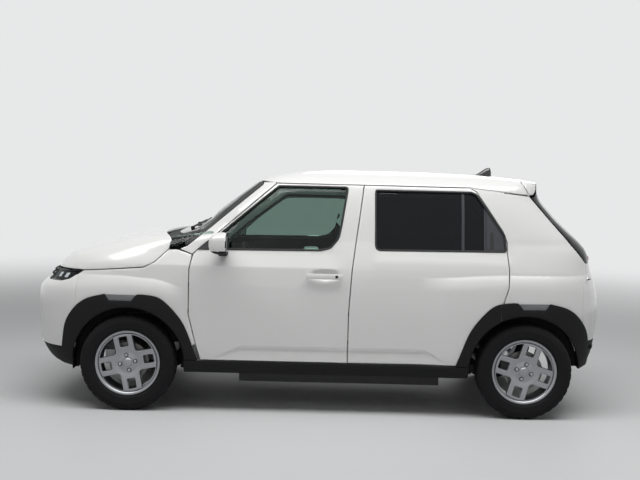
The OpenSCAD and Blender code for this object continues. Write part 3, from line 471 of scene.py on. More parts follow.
def finish(name, colour, roughness, grain=400.0, patch=3.0, tone=0.05, rough_spread=0.08, bump=0.0,
           bump_depth=0.0002, **fixed):
    """A material: the fine surface feeds colour, roughness and bump, the rest is fixed."""
    material = bpy.data.materials.new(name)
    material.use_nodes = True
    nodes = material.node_tree.nodes
    shader = nodes["Principled BSDF"]
    fine = nodes.new("ShaderNodeGroup")
    fine.node_tree = FINE_SURFACE
    for label, value in (("Grain Scale", grain), ("Patch Scale", patch), ("Tone Spread", tone),
                         ("Roughness", roughness), ("Roughness Spread", rough_spread)):
        fine.inputs[label].default_value = value
    mixed = nodes.new("ShaderNodeMix")
    mixed.data_type, mixed.blend_type = "RGBA", "MULTIPLY"
    mixed.inputs["Factor"].default_value = 1.0
    mixed.inputs["A"].default_value = (*colour, 1)
    wire(material.node_tree, (fine.outputs["Tone"], mixed.inputs["B"]),
         (mixed.outputs["Result"], shader.inputs["Base Color"]),
         (fine.outputs["Roughness"], shader.inputs["Roughness"]))
    if bump:
        raised = nodes.new("ShaderNodeBump")
        raised.inputs["Strength"].default_value = bump
        raised.inputs["Distance"].default_value = bump_depth
        wire(material.node_tree, (fine.outputs["Height"], raised.inputs["Height"]),
             (raised.outputs["Normal"], shader.inputs["Normal"]))
    for label, value in fixed.items():
        shader.inputs[label.replace("_", " ")].default_value = value
    return material


WHITE_PAINT = finish("white_paint", (0.80, 0.80, 0.785), 0.34, grain=900, patch=1.5, tone=0.02,
                     rough_spread=0.05, bump=0.04, Coat_Weight=1.0, Coat_Roughness=0.05)
GREY_PRIMER = finish("grey_primer", (0.33, 0.335, 0.34), 0.6, grain=500, tone=0.10)
BLACK_SEAL = finish("black_seal", (0.012, 0.012, 0.013), 0.55, grain=700, tone=0.25, bump=0.15)

GAP = 3.0
SILL_Z, HOOD_Z, GATE_Z = 340.0, 904.0, 908.0
FRONT_DOOR = [(1101, 1031), (1080, 930), (1080, 640), (1129, 446), (1161, SILL_Z), (2118, SILL_Z),
              (2118, 671), (2136, 957), (2206, 1498), (1633, 1498)]
REAR_DOOR = [(2118, SILL_Z), (2118, 671), (2136, 957), (2206, 1498), (2898, 1495), (2944, 1472),
             (3116, 1215), (3142, 1145), (3142, 1087), (3154, 957), (3148, 857), (3118, 758)]
FRONT_WINDOW = [(1153, 1062), (1925, 1070), (1992, 1086), (2044, 1150), (2062, 1237), (2100, 1480),
                (1645, 1480)]
REAR_WINDOW = [(2287, 1080), (3133, 1088), (3126, 1190), (2944, 1452), (2908, 1466), (2282, 1466)]


def drawn(points):
    """Side-view points, counted from the nose, in the car's frame."""
    return np.array([(NOSE_X + d, h) for d, h in points], float)


def arc(cx, cz, r, a0, a1, n):
    """Points on an arc between two angles in degrees."""
    return [(cx + r * math.cos(math.radians(a)), cz + r * math.sin(math.radians(a)))
            for a in np.linspace(a0, a1, n)]


def rear_door_outline():
    """Rear door with its lower rear corner following the wheel opening."""
    edge = drawn(REAR_DOOR)
    start = math.degrees(math.asin((SILL_Z + 3 - AXLE_Z) / ARCH_R))
    bow = arc(REAR_AXLE, AXLE_Z, ARCH_R, 126, 180 - start, 16)
    return np.vstack([edge, bow])


FRONT_EDGE, REAR_EDGE = drawn(FRONT_DOOR), rear_door_outline()
PILLAR = drawn([(1010, 1058), (1097, 1029), (1632, 1502), (1540, 1504), (1536, 1487), (1060, 1080)])
PILLAR_STRIP = drawn([(1042, 1096), (1058, 1077), (1538, 1488), (1522, 1508)])
SIDE_FOLDS = [np.array([(x, z) for x in np.arange(near, far, pitch)])
              for near, far, pitch, levels in ((-1300, 140, 12.0, (953.0, 960.0, 967.0)),
                                               (-700, 880, 10.0, (424.0, 430.0, 436.0, 442.0)),
                                               (-20, 125, 8.0, np.arange(876, 952, 8.0)))
              for z in levels]
for drop in (-5.0, 0.0, 6.0, 14.0, 24.0):
    for near, far, front in ((-1620, -800, True), (600, 1760, False)):
        line = np.arange(near, far, 10.0)
        SIDE_FOLDS.append(np.stack([line, crease(line, front) - drop], axis=1))
for shift in (0.0, 6.0, 12.0):
    for end, way in ((0, 1), (1, -1)):
        SIDE_FOLDS.append(np.array([(recess_ends(z)[end] + way * shift, z)
                                    for z in np.arange(343, 431, 6.0)]))


def quarter_outline():
    """Rear quarter from the roof rail round the wheel opening to the rear door's edge."""
    upper = [(2898, 1495), (3000, 1483), (3306, 1449), (3687, 1014), (3687, 888)]
    low = [(REAR_AXLE + ARCH_R + 13, 888), (REAR_AXLE + ARCH_R + 13, 440)]
    bow = arc(REAR_AXLE, AXLE_Z, ARCH_R, 20, 124, 26)
    front = drawn([(3118, 758), (3148, 857), (3154, 957), (3142, 1087), (3142, 1145), (3116, 1215),
                   (2944, 1472)])
    return np.vstack([drawn(upper), low, bow, front])


# The door frame seen with the doors open: one ring around each doorway
FRAME_RING = drawn([(1092, 262), (2872, 262), (2876, 340), (2907, 480), (2955, 560), (2993, 600),
                    (3116, 690), (3200, 730), (3230, 960), (3180, 1200), (2985, 1478), (2900, 1508),
                    (1640, 1510), (1560, 1500), (1075, 1112), (1010, 1000), (1010, 700), (1060, 520)])
FRONT_WAY = drawn([(1165, 415), (2038, 415), (2052, 957), (2150, 1440), (1690, 1440), (1175, 1040)])
REAR_WAY = drawn([(2200, 415), (2820, 415), (2850, 500), (2905, 600), (3010, 705), (3070, 800), (3086, 957),
                  (3076, 1150), (2890, 1436), (2275, 1440), (2212, 957)])


def lofted(rows, m, closed=False, capped=True):
    """Faces of a form of rows with m points each: quads between the rows, one face on each end."""
    faces = [(i * m + k, i * m + (k + 1) % m, (i + 1) % rows * m + (k + 1) % m, (i + 1) % rows * m + k)
             for i in range(rows if closed else rows - 1) for k in range(m)]
    if capped and not closed:
        faces += [tuple(range(m))[::-1], tuple(range((rows - 1) * m, rows * m))]
    return faces


def tube(path, radius, around=8, closed=False):
    """Round bar along a list of points."""
    path = np.asarray(path, float)
    n = len(path)
    way = np.gradient(path, axis=0) if not closed else np.roll(path, -1, 0) - np.roll(path, 1, 0)
    way /= np.maximum(np.linalg.norm(way, axis=1), 1e-9)[:, None]
    up = np.where(np.abs(way[:, 2:3]) < 0.9, [[0, 0, 1.0]], [[1.0, 0, 0]])
    a = np.cross(way, up)
    a /= np.linalg.norm(a, axis=1)[:, None]
    b = np.cross(a, way)
    r = np.broadcast_to(np.asarray(radius, float), (n,))[:, None]
    turns = [2 * math.pi * k / around for k in range(around)]
    ring = np.stack([r * (math.cos(t) * a + math.sin(t) * b) for t in turns], axis=1)
    verts = (path[:, None] + ring).reshape(-1, 3)
    return verts, [f[::-1] for f in lofted(n, around, closed)]


def deeper(skin, depth):
    """The same skin, further in by a depth."""
    def at(a, b):
        p, n = skin(a, b), normal_to(skin, a, b)
        n *= np.sign(np.sum(n * (p - BODY_CORE), axis=1))[:, None]
        return p - n * depth
    return at


def block(corner, opposite, radius=4.0, steps=2):
    """Box with rounded edges between two opposite corners."""
    made = bmesh.new()
    bmesh.ops.create_cube(made, size=1.0)
    corner, opposite = np.array(corner, float), np.array(opposite, float)
    low, high = np.minimum(corner, opposite), np.maximum(corner, opposite)
    for v in made.verts:
        v.co = Vector((low + high) / 2 + np.array(v.co) * (high - low))
    bmesh.ops.bevel(made, geom=made.edges[:], offset=radius, segments=steps, profile=0.5, affect="EDGES")
    made.verts.index_update()
    verts = np.array([tuple(v.co) for v in made.verts])
    faces = [[v.index for v in f.verts] for f in made.faces]
    made.free()
    return verts, faces


def slab(coat, corner, opposite, radius=4.0, steps=2):
    """A block with its finish."""
    return (*block(corner, opposite, radius, steps), coat)


FRONT_HINGES, REAR_HINGES = (655.0, 830.0), (470.0, 655.0)
for side, name in SIDES:
    skin = side_skin(side)
    parts = [sheet(WHITE_PAINT, skin, 24, rounded(shrunk(PILLAR, GAP), 6)),
             sheet(BLACK_SEAL, deeper(skin, 2), 16, rounded(PILLAR_STRIP, 3), pitch=14),
             sheet(WHITE_PAINT, skin, 24, shrunk(rounded(quarter_outline(), 5), GAP), lines=SIDE_FOLDS),
             sheet(WHITE_PAINT, deeper(skin, 68), 36, rounded(FRAME_RING, 30), rounded(FRONT_WAY, 70),
                   rounded(REAR_WAY, 60), pitch=30, roll=5)]
    for way in (FRONT_WAY, REAR_WAY):
        loop = spaced(rounded(shrunk(way, -4), 66), 20)
        parts.append((*tube(deeper(skin, 66)(*loop.T), 7, 8, True), BLACK_SEAL))
    parts.append(slab(WHITE_PAINT, (-790, side * 602, 257), (945, side * 742, 338), 8))
    # each hinge: two leaves and the pin through them
    for x, y, ahead, levels in ((-873.5, 766, 30, FRONT_HINGES), (164.5, 759, 6, REAR_HINGES)):
        for z in levels:
            for low in (z - 23, z + 13.5):
                parts.append(slab(WHITE_PAINT, (x - ahead, side * (y + 4.5), low),
                                  (x + 6, side * (y - 68), low + 9.5), 1.5))
            parts.append((*tube([(x, side * y, z - 23), (x, side * y, z + 23)], 3, 12), GREY_PRIMER))
    piece("side_panel_" + name, "body", parts, ["body_side_" + name], "paint")

# Front fenders: thin painted steel sheets, pressed with the crease over the wheel, cut out for the
# wheel opening and bolted along the hood gutter.
FENDER_LINE = [(386, HOOD_Z), (785, 937), (858, 976), (942, 1056), (1006, 1056), (1097, 1024),
               (1080, 930), (1080, 640), (1129, 446)]
BUMPER_FRONT_X = FRONT_AXLE - ARCH_R + 22
for side, name in SIDES:
    bow = arc(FRONT_AXLE, AXLE_Z, ARCH_R, 12, 157, 34)
    outline = np.vstack([[(BUMPER_FRONT_X, 874)], drawn(FENDER_LINE), bow, [(BUMPER_FRONT_X, 470)]])
    part = sheet(WHITE_PAINT, side_skin(side), 8, shrunk(rounded(outline, 6), GAP), lines=SIDE_FOLDS)
    piece("fender_" + name, "body", [part], ["front_fenders"] if side < 0 else (), "paint")


# Doors: painted outer sheet hemmed over a deep inner frame, a black seal around the glass, and two
# cranked steel straps that swing on the body's pins. The rear panes are dark.
DOOR_TRIM = finish("door_trim", (0.055, 0.056, 0.06), 0.62, grain=520, tone=0.2, bump=0.35)
GLOSS_BLACK = finish("gloss_black", (0.010, 0.010, 0.011), 0.12, grain=300, tone=0.3, Coat_Weight=0.6,
                     Coat_Roughness=0.04)


def pane(name, colour, clear):
    """Tempered glass of one tint."""
    return finish(name, colour, 0.02, grain=60, patch=2.0, tone=0.06, rough_spread=0.015,
                  Transmission_Weight=clear, IOR=1.30, Specular_IOR_Level=0.35)


CLEAR_GLASS = pane("clear_glass", (0.36, 0.46, 0.42), 1.0)
DARK_GLASS = pane("dark_glass", (0.030, 0.034, 0.040), 0.85)
PANE_TRIM = finish("pane_trim", (0.040, 0.042, 0.050), 0.35, grain=300, tone=0.15)


def oblong(x0, z0, x1, z1):
    """Corners of an upright rectangle."""
    return np.array([(x0, z0), (x1, z0), (x1, z1), (x0, z1)], float)


# rear pane: two upright bars and a black corner that holds a hidden pull grip, each with its depth
PANE_BARS = [(oblong(933, 1089, 951, 1466), 6.5, PANE_TRIM),
             ([(1079, 1090), (1091, 1090), (1091, 1352), (1079, 1370)], 6.5, PANE_TRIM),
             ([(1093, 1090), (1218, 1091), (1212, 1190), (1093, 1356)], 4.5, PANE_TRIM),
             ([(1116, 1104), (1142, 1104), (1138, 1214), (1120, 1214)], 2.5, BLACK_SEAL)]
BELT_Z = 1030
# place, outline, window with its corner radii, hinge heights, pin x and y, strap reach and drop
DOORS = [("front", FRONT_EDGE, FRONT_WINDOW, [10, 60, 60, 60, 80, 18, 18], FRONT_HINGES,
          (-873.5, 766.0), (155.0, 39.0), (CLEAR_GLASS, "clear_glass")),
         ("rear", REAR_EDGE, REAR_WINDOW, [34, 14, 60, 30, 20, 14], REAR_HINGES,
          (164.468, 759.0), (112.0, 34.0), (DARK_GLASS, "tinted_glass"))]
for side, name in SIDES:
    skin, plain = side_skin(side), side_skin(side, pressed=False)
    for place, edge, window, corner, hinges, (pin_x, pin_y), (reach, drop), (tint, tint_slot) in DOORS:
        outer, opening = shrunk(rounded(edge, 5), GAP), rounded(drawn(window), corner)
        tray, ring = shrunk(rounded(edge, 30), 62), spaced(opening, 12)
        below_belt = rounded(tray[tray[:, 1] < BELT_Z], 8)
        parts = [sheet(WHITE_PAINT, skin, 6.0, outer, opening, lines=SIDE_FOLDS),
                 sheet(DOOR_TRIM, deeper(plain, 24), 34, below_belt, pitch=40, roll=6),
                 sheet(DOOR_TRIM, deeper(plain, 15), 20, shrunk(outer, 14), shrunk(ring, -5), pitch=40,
                       roll=3)]
        if place == "rear":
            parts += [sheet(coat, deeper(plain, depth), 4, rounded(bar, 5), pitch=20, roll=1)
                      for bar, depth, coat in PANE_BARS]
        parts.append((*tube(deeper(skin, 1.5)(*ring.T), 7.0, 8, True), BLACK_SEAL))
        y_pin = side * pin_y
        inner, outside = y_pin - side * (drop + 5), y_pin - side * (drop - 5)
        for z in hinges:
            parts += [slab(GREY_PRIMER, (pin_x - 5, y_pin, z - 13), (pin_x + 5, inner, z + 13), 1.5),
                      slab(GREY_PRIMER, (pin_x - 5, inner, z - 13), (pin_x + reach, outside, z + 13), 1.5)]
        body_name, label = "door_" + place[0] + name[0], place + "_" + name
        piece("door_skin_" + label, body_name, parts, ["door_" + label], "paint")
        glass = sheet(tint, deeper(skin, 9), 4, shrunk(opening, -2), pitch=40, roll=0.8)
        piece("door_glass_" + label, body_name, [glass], ["window_" + label], tint_slot)

# Roof: one pressed skin from windscreen header to tailgate, with a pale cloth headliner below it
# and the two ears that carry the tailgate's hinge pins.
HEADLINER = finish("headliner_cloth", (0.46, 0.455, 0.44), 0.9, grain=1500, tone=0.08, bump=0.4,
                   Sheen_Weight=0.3)
GATE_HINGE_Y, GATE_PIN_X, GATE_PIN_Z = 380, 1304.45, 1540


def outermost(covered, low, high, halvings):
    """Largest value at which a point is still covered by the body, by halving the range."""
    for _ in range(halvings):
        mid = (low + high) / 2
        hit = covered(mid)
        low, high = np.where(hit, mid, low), np.where(hit, high, mid)
    return low


def top_skin(x, y):
    """Upper side of the body in plan: x and y give z."""
    low, high = np.full(len(x), 860.0), np.full(len(x), 1593.0)
    return np.stack([x, y, outermost(lambda z: side_y(x, z) >= np.abs(y) + 0.5, low, high, 26)], axis=1)


def run_table(powers):
    """Plan outline of nose or tail: distance along the outline against its angle."""
    angle = np.linspace(0, 1.5, 1200)
    x = LENGTH / 2 * np.cos(angle) ** (2 / powers[0])
    y = 783 * np.sin(angle) ** (2 / powers[1])
    return angle, np.concatenate([[0], np.cumsum(np.hypot(np.diff(x), np.diff(y)))])


NOSE_RUN, TAIL_RUN = run_table(NOSE_ROUND), run_table(TAIL_ROUND)


def wrap_skin(front):
    """Nose or tail of the body: distance from the centre line along the outline, and height."""
    angles, run = NOSE_RUN if front else TAIL_RUN
    powers = NOSE_ROUND if front else TAIL_ROUND

    def at(s, z):
        angle = np.interp(np.abs(s), run, angles)
        nose, tail, middle = ends(z)
        x = middle + ((nose if front else tail) - middle) * np.cos(angle) ** (2 / powers[0])
        v = np.sin(angle) ** (2 / powers[1])
        y = np.sign(s) * (half_width(x, z) * v + bulge(x, z) * v ** 4)
        return np.stack([x, y, z], axis=1)
    return at


def wrap_at(x, z, front):
    """Distance along the nose or tail outline where it passes x at height z."""
    angles, run = NOSE_RUN if front else TAIL_RUN
    power = (NOSE_ROUND if front else TAIL_ROUND)[0]
    nose, tail, middle = ends(z)
    share = np.clip((x - middle) / ((nose if front else tail) - middle), 0, 1)
    return float(np.interp(math.acos(share ** (power / 2)), angles, run))


NOSE, TAIL = wrap_skin(True), wrap_skin(False)


def both_halves(half, flip=(1, -1)):
    """Closed outline from its half and the half's mirror image."""
    half = np.asarray(half, float)
    return np.vstack([half, (half * flip)[::-1]])


def along(points, pitch=25.0):
    """Points on an open line at an even pitch."""
    points = np.asarray(points, float)
    out = [points[0]]
    for p, q in zip(points, points[1:]):
        n = max(1, int(np.linalg.norm(q - p) / pitch))
        out += [p + (q - p) * k / n for k in range(1, n + 1)]
    return np.array(out)


def plan_of(line):
    """Side-view line on the body's flank, seen in plan."""
    line = along(line)
    return np.stack([line[:, 0], side_y(line[:, 0], line[:, 1])], axis=1)


ROOF_LINE = drawn([(1527, 1512), (1640, 1501), (2898, 1498), (3000, 1485), (3305, 1452), (3255, 1534)])
header = NOSE(np.linspace(0, wrap_at(NOSE_X + 1527, 1512, True), 30), np.full(30, 1512.0))
roof_half = np.vstack([header[:-1, :2], plan_of(ROOF_LINE), [(NOSE_X + 3255, 0)]])
roof_outline = rounded(both_halves(roof_half), 1)
lining = both_halves(plan_of(drawn([(1640, 1520), (3000, 1516)])) * [1, 0.9])
roof_parts = [sheet(WHITE_PAINT, top_skin, 12, shrunk(roof_outline, 2), pitch=24),
              sheet(HEADLINER, deeper(top_skin, 30), 10, rounded(lining, 60), pitch=40, roll=4)]
for y in (-GATE_HINGE_Y, GATE_HINGE_Y):
    for low in (y - 23, y + 13.5):
        roof_parts.append(slab(WHITE_PAINT, (1219.5, low, 1528), (1310.5, low + 9.5, 1544), 1.5))
    pin = [(GATE_PIN_X, y - 23, GATE_PIN_Z), (GATE_PIN_X, y + 23, GATE_PIN_Z)]
    roof_parts.append((*tube(pin, 3, 12), GREY_PRIMER))
piece("roof_skin", "body", roof_parts, ["roof"], "paint")

# Windscreen: one bent pane of clear laminated glass, bonded into the opening behind a black printed
# border. Its foot dips towards the corners.
SCREEN_EDGE = drawn([(1044, 1098), (1512, 1508)])
SCREEN_FOOT, FOOT_DIP = 1153, 55
ROUND_END = (-1, 1)


def wrapped(points, front):
    """Side-view points as distance along the nose or tail outline, and height."""
    return [(wrap_at(x, z, front), z) for x, z in points]


screen_side = np.array(wrapped(along(SCREEN_EDGE, 30), True))
base_line = np.array([(t * screen_side[0, 0], SCREEN_FOOT - FOOT_DIP * t ** 8)
                      for t in np.linspace(0, 1, 12)[:-1]])
screen = spaced(both_halves(np.vstack([base_line, screen_side, [(0, 1508)]]), ROUND_END), 25)
piece("windscreen_pane", "body", [
    sheet(CLEAR_GLASS, deeper(NOSE, 6), 5, shrunk(screen, 34), pitch=45, roll=0.8),
    sheet(GLOSS_BLACK, deeper(NOSE, 4), 8, shrunk(screen, 1), shrunk(screen, 32), pitch=30, roll=1)],
    ["windscreen"], "clear_glass")

# Hood: painted outer and inner steel sheet hemmed into one shell with two soft folds, carried at the
# back by two arms on pins.
HOOD_LINE = drawn([(380, HOOD_Z), (785, 937), (858, 976), (942, 1056)])
lip = NOSE(np.linspace(0, wrap_at(NOSE_X + 380, HOOD_Z + 2, True), 40), np.full(40, HOOD_Z + 2))
rear_y = side_y(np.array([NOSE_X + 942.0]), np.array([1056.0]))[0]
rear_edge = np.array([(NOSE_X + 852 + 95 * (y / 660) ** 2, y) for y in np.linspace(rear_y, 0, 24)])
HOOD_CORE, HOOD_ROUND, HOOD_ARM_Y = 700.0, 700.0, 480


def hood_skin(x, w):
    """Hood seen around a long axis below it: x and the way round from the middle."""
    angle = w / HOOD_ROUND

    def covered(r):
        return side_y(x, HOOD_CORE + r * np.cos(angle)) >= np.abs(r * np.sin(angle)) + 0.5
    low = outermost(covered, np.full(len(x), 100.0), np.full(len(x), 1000.0), 28)
    p = np.stack([x, low * np.sin(angle), HOOD_CORE + low * np.cos(angle)], axis=1)
    fold = np.abs(p[:, 1]) - (520 - 0.10 * (x + 1800))
    p[:, 2] += 3.5 * (1 - step(-9, 9, fold)) * step(-1760, -1600, x) * (1 - step(-1180, -1080, x))
    return p


def way_round(points):
    """Points on the hood as x and the way round from the middle."""
    angle = np.arctan2(points[:, 1], points[:, 2] - HOOD_CORE)
    return np.stack([points[:, 0], HOOD_ROUND * angle], axis=1)


flank = along(HOOD_LINE)
flank = np.stack([flank[:, 0], side_y(flank[:, 0], flank[:, 1]), flank[:, 1]], axis=1)
rear_line = top_skin(rear_edge[1:, 0], rear_edge[1:, 1])
hood_outline = both_halves(way_round(np.vstack([lip[:-1], flank, rear_line])))
hood_parts = [sheet(WHITE_PAINT, hood_skin, 20, shrunk(spaced(hood_outline, 18), GAP), pitch=17)]
post_top = top_skin(np.array([-1033.0]), np.array([480.0]))[0, 2] - 12
for y in (-HOOD_ARM_Y, HOOD_ARM_Y):
    for end_x, end_z in ((-917.5, 1092), (-1020, post_top)):
        hood_parts.append(slab(GREY_PRIMER, (-1046, y - 8, 1078), (end_x, y + 8, end_z), 3))
piece("hood_skin", "hood", hood_parts, ["hood"], "paint")

# Cowl below the windscreen: one black moulded plastic tray clipped over the bulkhead, open at two
# slots through which the hood's arms swing.
BLACK_PLASTIC = finish("black_plastic", (0.010, 0.010, 0.011), 0.62, grain=650, patch=4, tone=0.2, bump=0.6,
                       bump_depth=0.0003, Specular_IOR_Level=0.18)
front_edge = rear_edge[::-1] + [10, 0]
slot_sides = (452, 508)
arm_slot = [(np.interp(slot_sides[0], front_edge[:, 1], front_edge[:, 0]), slot_sides[0]),
            (-905, slot_sides[0]), (-905, slot_sides[1]),
            (np.interp(slot_sides[1], front_edge[:, 1], front_edge[:, 0]), slot_sides[1])]
cowl_half = np.vstack([front_edge[front_edge[:, 1] < slot_sides[0] - 4], arm_slot,
                       front_edge[front_edge[:, 1] > slot_sides[1] + 4],
                       drawn([(1012, rear_y * 0.93), (1034, 560), (1026, 300), (1010, 0)])])
cowl = np.vstack([cowl_half, (cowl_half * [1, -1])[::-1][1:-1]])
piece("cowl_tray", "body", [
    sheet(BLACK_PLASTIC, deeper(top_skin, 20), 8, rounded(cowl, 4), pitch=24, roll=2)], (), "cladding")

# Nose: one white moulded bumper skin wrapped round the front from wheel to wheel, under the black
# band. A round cap covers the towing eye.
BUMPER_SPLIT = 397.0
LAMP_LOW = drawn([(126, 822), (230, 826), (290, 843), (330, 868), (340, 874)])
LAMP_TIP = drawn([(384, 901)])


def bumper_side(z, front):
    """Where the bumper ends at the wheel opening or at its seam."""
    if front:
        inside = ARCH_R ** 2 - (z - AXLE_Z) ** 2
        return min(BUMPER_FRONT_X, FRONT_AXLE - math.sqrt(max(inside, 0)))
    return REAR_AXLE + ARCH_R + 13


def bumper_edge(z_from, z_to, front):
    """The bumper's end from one height to another, a seam's width short of its neighbour."""
    heights = np.linspace(z_from, z_to, max(2, int(abs(z_to - z_from) / 25.0)))
    seam = 2.4 if front else -2.4
    return wrapped([(bumper_side(z, front) + seam, z) for z in heights], front)


band_low = wrapped(LAMP_LOW, True)
bumper_half = [(0, BUMPER_SPLIT)] + bumper_edge(BUMPER_SPLIT, 872, True) + band_low[::-1] + [(0, 822)]
nose_outline = spaced(both_halves(bumper_half, ROUND_END), 22)
tow_cap = np.array(arc(470, 480, 33, 0, 350, 20))
piece("bumper_front", "body", [
    sheet(WHITE_PAINT, NOSE, 14, nose_outline, pitch=20),
    sheet(WHITE_PAINT, NOSE, 4, tow_cap, pitch=14, lift=0.6, roll=1.5)], ["front_bumper"], "paint")

# Black band across the nose: a moulded plastic panel with two rows of slats, and at each corner a
# head lamp with two bright-framed lights behind a clear cover.
LAMP_GLASS = finish("lamp_cover", (0.55, 0.57, 0.58), 0.03, grain=50, tone=0.03, rough_spread=0.01,
                    Transmission_Weight=1.0, IOR=1.12, Specular_IOR_Level=0.2)
LAMP_LIGHT = finish("lamp_element", (0.86, 0.87, 0.88), 0.18, grain=200, tone=0.04, Emission_Strength=0.35,
                    Emission_Color=(0.95, 0.97, 1.0, 1))
CHROME = finish("bright_metal", (0.72, 0.73, 0.74), 0.14, grain=300, tone=0.05, Metallic=1.0)
band_tip = wrapped(LAMP_TIP, True)
band_half = [(0, 824)] + [(s - 1, z + 2) for s, z in band_low] + band_tip + [(0, 901)]
band = spaced(both_halves(band_half, ROUND_END), 20)
piece("nose_band", "body", [sheet(BLACK_PLASTIC, deeper(NOSE, 9), 14, band, pitch=22, roll=2)],
      ["grille"], "cladding")


def repeated(name, body, points, shape, material):
    """Copies of a small shape on a row of points, made by a node tree and realized."""
    carrier = bpy.data.meshes.new(name)
    carrier.from_pydata([tuple(np.array(p) * 0.001) for p in points], [], [])
    holder = added(name, carrier)
    single = bpy.data.meshes.new(name + "_one")
    single.from_pydata((np.asarray(shape[0]) * 0.001).tolist(), [], [tuple(f) for f in shape[1]])
    original = added(name + "_one", single)
    tree = bpy.data.node_groups.new(name, "GeometryNodeTree")
    tree.interface.new_socket("Geometry", in_out="INPUT", socket_type="NodeSocketGeometry")
    scale = tree.interface.new_socket("Size", in_out="INPUT", socket_type="NodeSocketFloat")
    scale.default_value = 1.0
    tree.interface.new_socket("Geometry", in_out="OUTPUT", socket_type="NodeSocketGeometry")
    nodes = tree.nodes
    given, out = nodes.new("NodeGroupInput"), nodes.new("NodeGroupOutput")
    source = nodes.new("GeometryNodeObjectInfo")
    source.inputs["Object"].default_value = original
    copies = nodes.new("GeometryNodeInstanceOnPoints")
    real, dressed = nodes.new("GeometryNodeRealizeInstances"), nodes.new("GeometryNodeSetMaterial")
    dressed.inputs["Material"].default_value = material
    wire(tree, (given.outputs["Geometry"], copies.inputs["Points"]),
         (given.outputs["Size"], copies.inputs["Scale"]),
         (source.outputs["Geometry"], copies.inputs["Instance"]),
         (copies.outputs["Instances"], real.inputs["Geometry"]),
         (real.outputs["Geometry"], dressed.inputs["Geometry"]),
         (dressed.outputs["Geometry"], out.inputs["Geometry"]))
    modifier = holder.modifiers.new(name, "NODES")
    modifier.node_group = tree
    modifier[scale.identifier] = 1.0
    seen = holder.evaluated_get(bpy.context.evaluated_depsgraph_get())
    mesh = bpy.data.meshes.new_from_object(seen)
    mesh.name = name
    holder.modifiers.clear()
    bpy.data.objects.remove(holder)
    bpy.data.objects.remove(original)
    made = added(name, mesh)
    if not mesh.materials:
        mesh.materials.append(material)
    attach(made, body)


SLAT_ROWS, SLAT_PLACES = (855.0, 880.0), np.arange(-480, 481, 24.0)
slat_points = NOSE(np.tile(SLAT_PLACES, 2), np.repeat(SLAT_ROWS, len(SLAT_PLACES)))
repeated("nose_slats", "body", slat_points + [-1, 0, 0], block((-5, -9, -4), (5, 9, 4), 1.5),
         BLACK_PLASTIC)
LIGHT_PLACES, LIGHT_Z, LIGHT_HALF = (624, 700), 866, (17, 14)
for side, name in SIDES:
    lamp = [(560, 827)] + [(s - 3, z + 5) for s, z in band_low]
    lamp += [(s - 12, 898) for s, z in band_tip] + [(560, 898)]
    cover = rounded(np.array(lamp) * [side, 1], 3)
    parts = [sheet(LAMP_GLASS, deeper(NOSE, 2), 3.5, cover, pitch=18, roll=1)]
    for s in LIGHT_PLACES:
        w, h = LIGHT_HALF
        square = oblong(s - w, LIGHT_Z - h, s + w, LIGHT_Z + h) * [side, 1]
        around = rounded(square + (square - square.mean(0)) * 0.22, 4)
        parts += [sheet(LAMP_LIGHT, deeper(NOSE, 6.2), 2.2, rounded(square, 3), pitch=12, roll=0.8),
                  sheet(CHROME, deeper(NOSE, 6.0), 2.6, around, rounded(square, 3), pitch=12, roll=0.8)]
    piece("headlamp_" + name, "body", parts, ["headlamps"] if side < 0 else (), "lamp")

# Rear bumper and feet: a white moulded skin with a blank recess for a plate, and below it, front
# and rear, a black plastic foot. Two round caps sit on the rear foot.
REAR_SPLIT = 508.0
rear_half = [(0, REAR_SPLIT)] + bumper_edge(REAR_SPLIT, 890.4, False)
rear_half += wrapped([(NOSE_X + 3686, 890.4), (NOSE_X + 3686, 907)], False) + [(0, 907)]
plate = oblong(-265, 580, 265, 705)


def tail_recess(s, z):
    """Rear skin with a shallow recess for a plate."""
    p = TAIL(s, z)
    p[:, 0] -= 16 * step(0, 14, 262 - np.abs(s)) * step(0, 14, 62 - np.abs(z - 642))
    return p


PLATE_FOLDS = [spaced(shrunk(plate, k), 12) for k in (0, 7, 14)]
rear_outline = spaced(both_halves(rear_half, ROUND_END), 22)
piece("bumper_rear", "body", [
    sheet(WHITE_PAINT, tail_recess, 14, rear_outline, pitch=20, lines=PLATE_FOLDS),
    sheet(GREY_PRIMER, deeper(tail_recess, -1), 2, rounded(shrunk(plate, 22), 8), pitch=40, roll=0.6)],
    ["rear_bumper"], "paint")
feet = []
for front, low, high in ((True, 238, BUMPER_SPLIT - 3), (False, 316, REAR_SPLIT - 3)):
    half = [(0, low)] + bumper_edge(low, high, front) + [(0, high)]
    feet.append(sheet(BLACK_PLASTIC, NOSE if front else TAIL, 14, spaced(both_halves(half, ROUND_END), 22),
                      pitch=22, roll=3))
for s in (-600, 600):
    dot = np.array(arc(s, 463, 17, 0, 345, 16))
    feet.append(sheet(BLACK_PLASTIC, TAIL, 16, dot, pitch=9, lift=13, roll=4))
piece("bumper_feet", "body", feet, ["lower_valances"], "cladding")

# Wheel-arch claddings and sills: grained black plastic strips with a grey insert at the top of
# each arch, clipped over the painted edge. The rear ones have a part on the door.
GREY_INSERT = finish("grey_insert", (0.17, 0.172, 0.178), 0.42, grain=500, tone=0.1, bump=0.2)
# distance from the axle towards the doors, height over the axle
ARCH_OUTER = [(-452, 20), (-441, 114), (-416, 255), (-352, 356), (-272, 416), (-165, 447)]
ARCH_OUTER_BACK = [(90, 453), (196, 436), (279, 371), (364, 257), (430, 89), (452, 29)]
NOTCH = [(-148, 451), (-122, 408), (24, 408), (57, 451)]


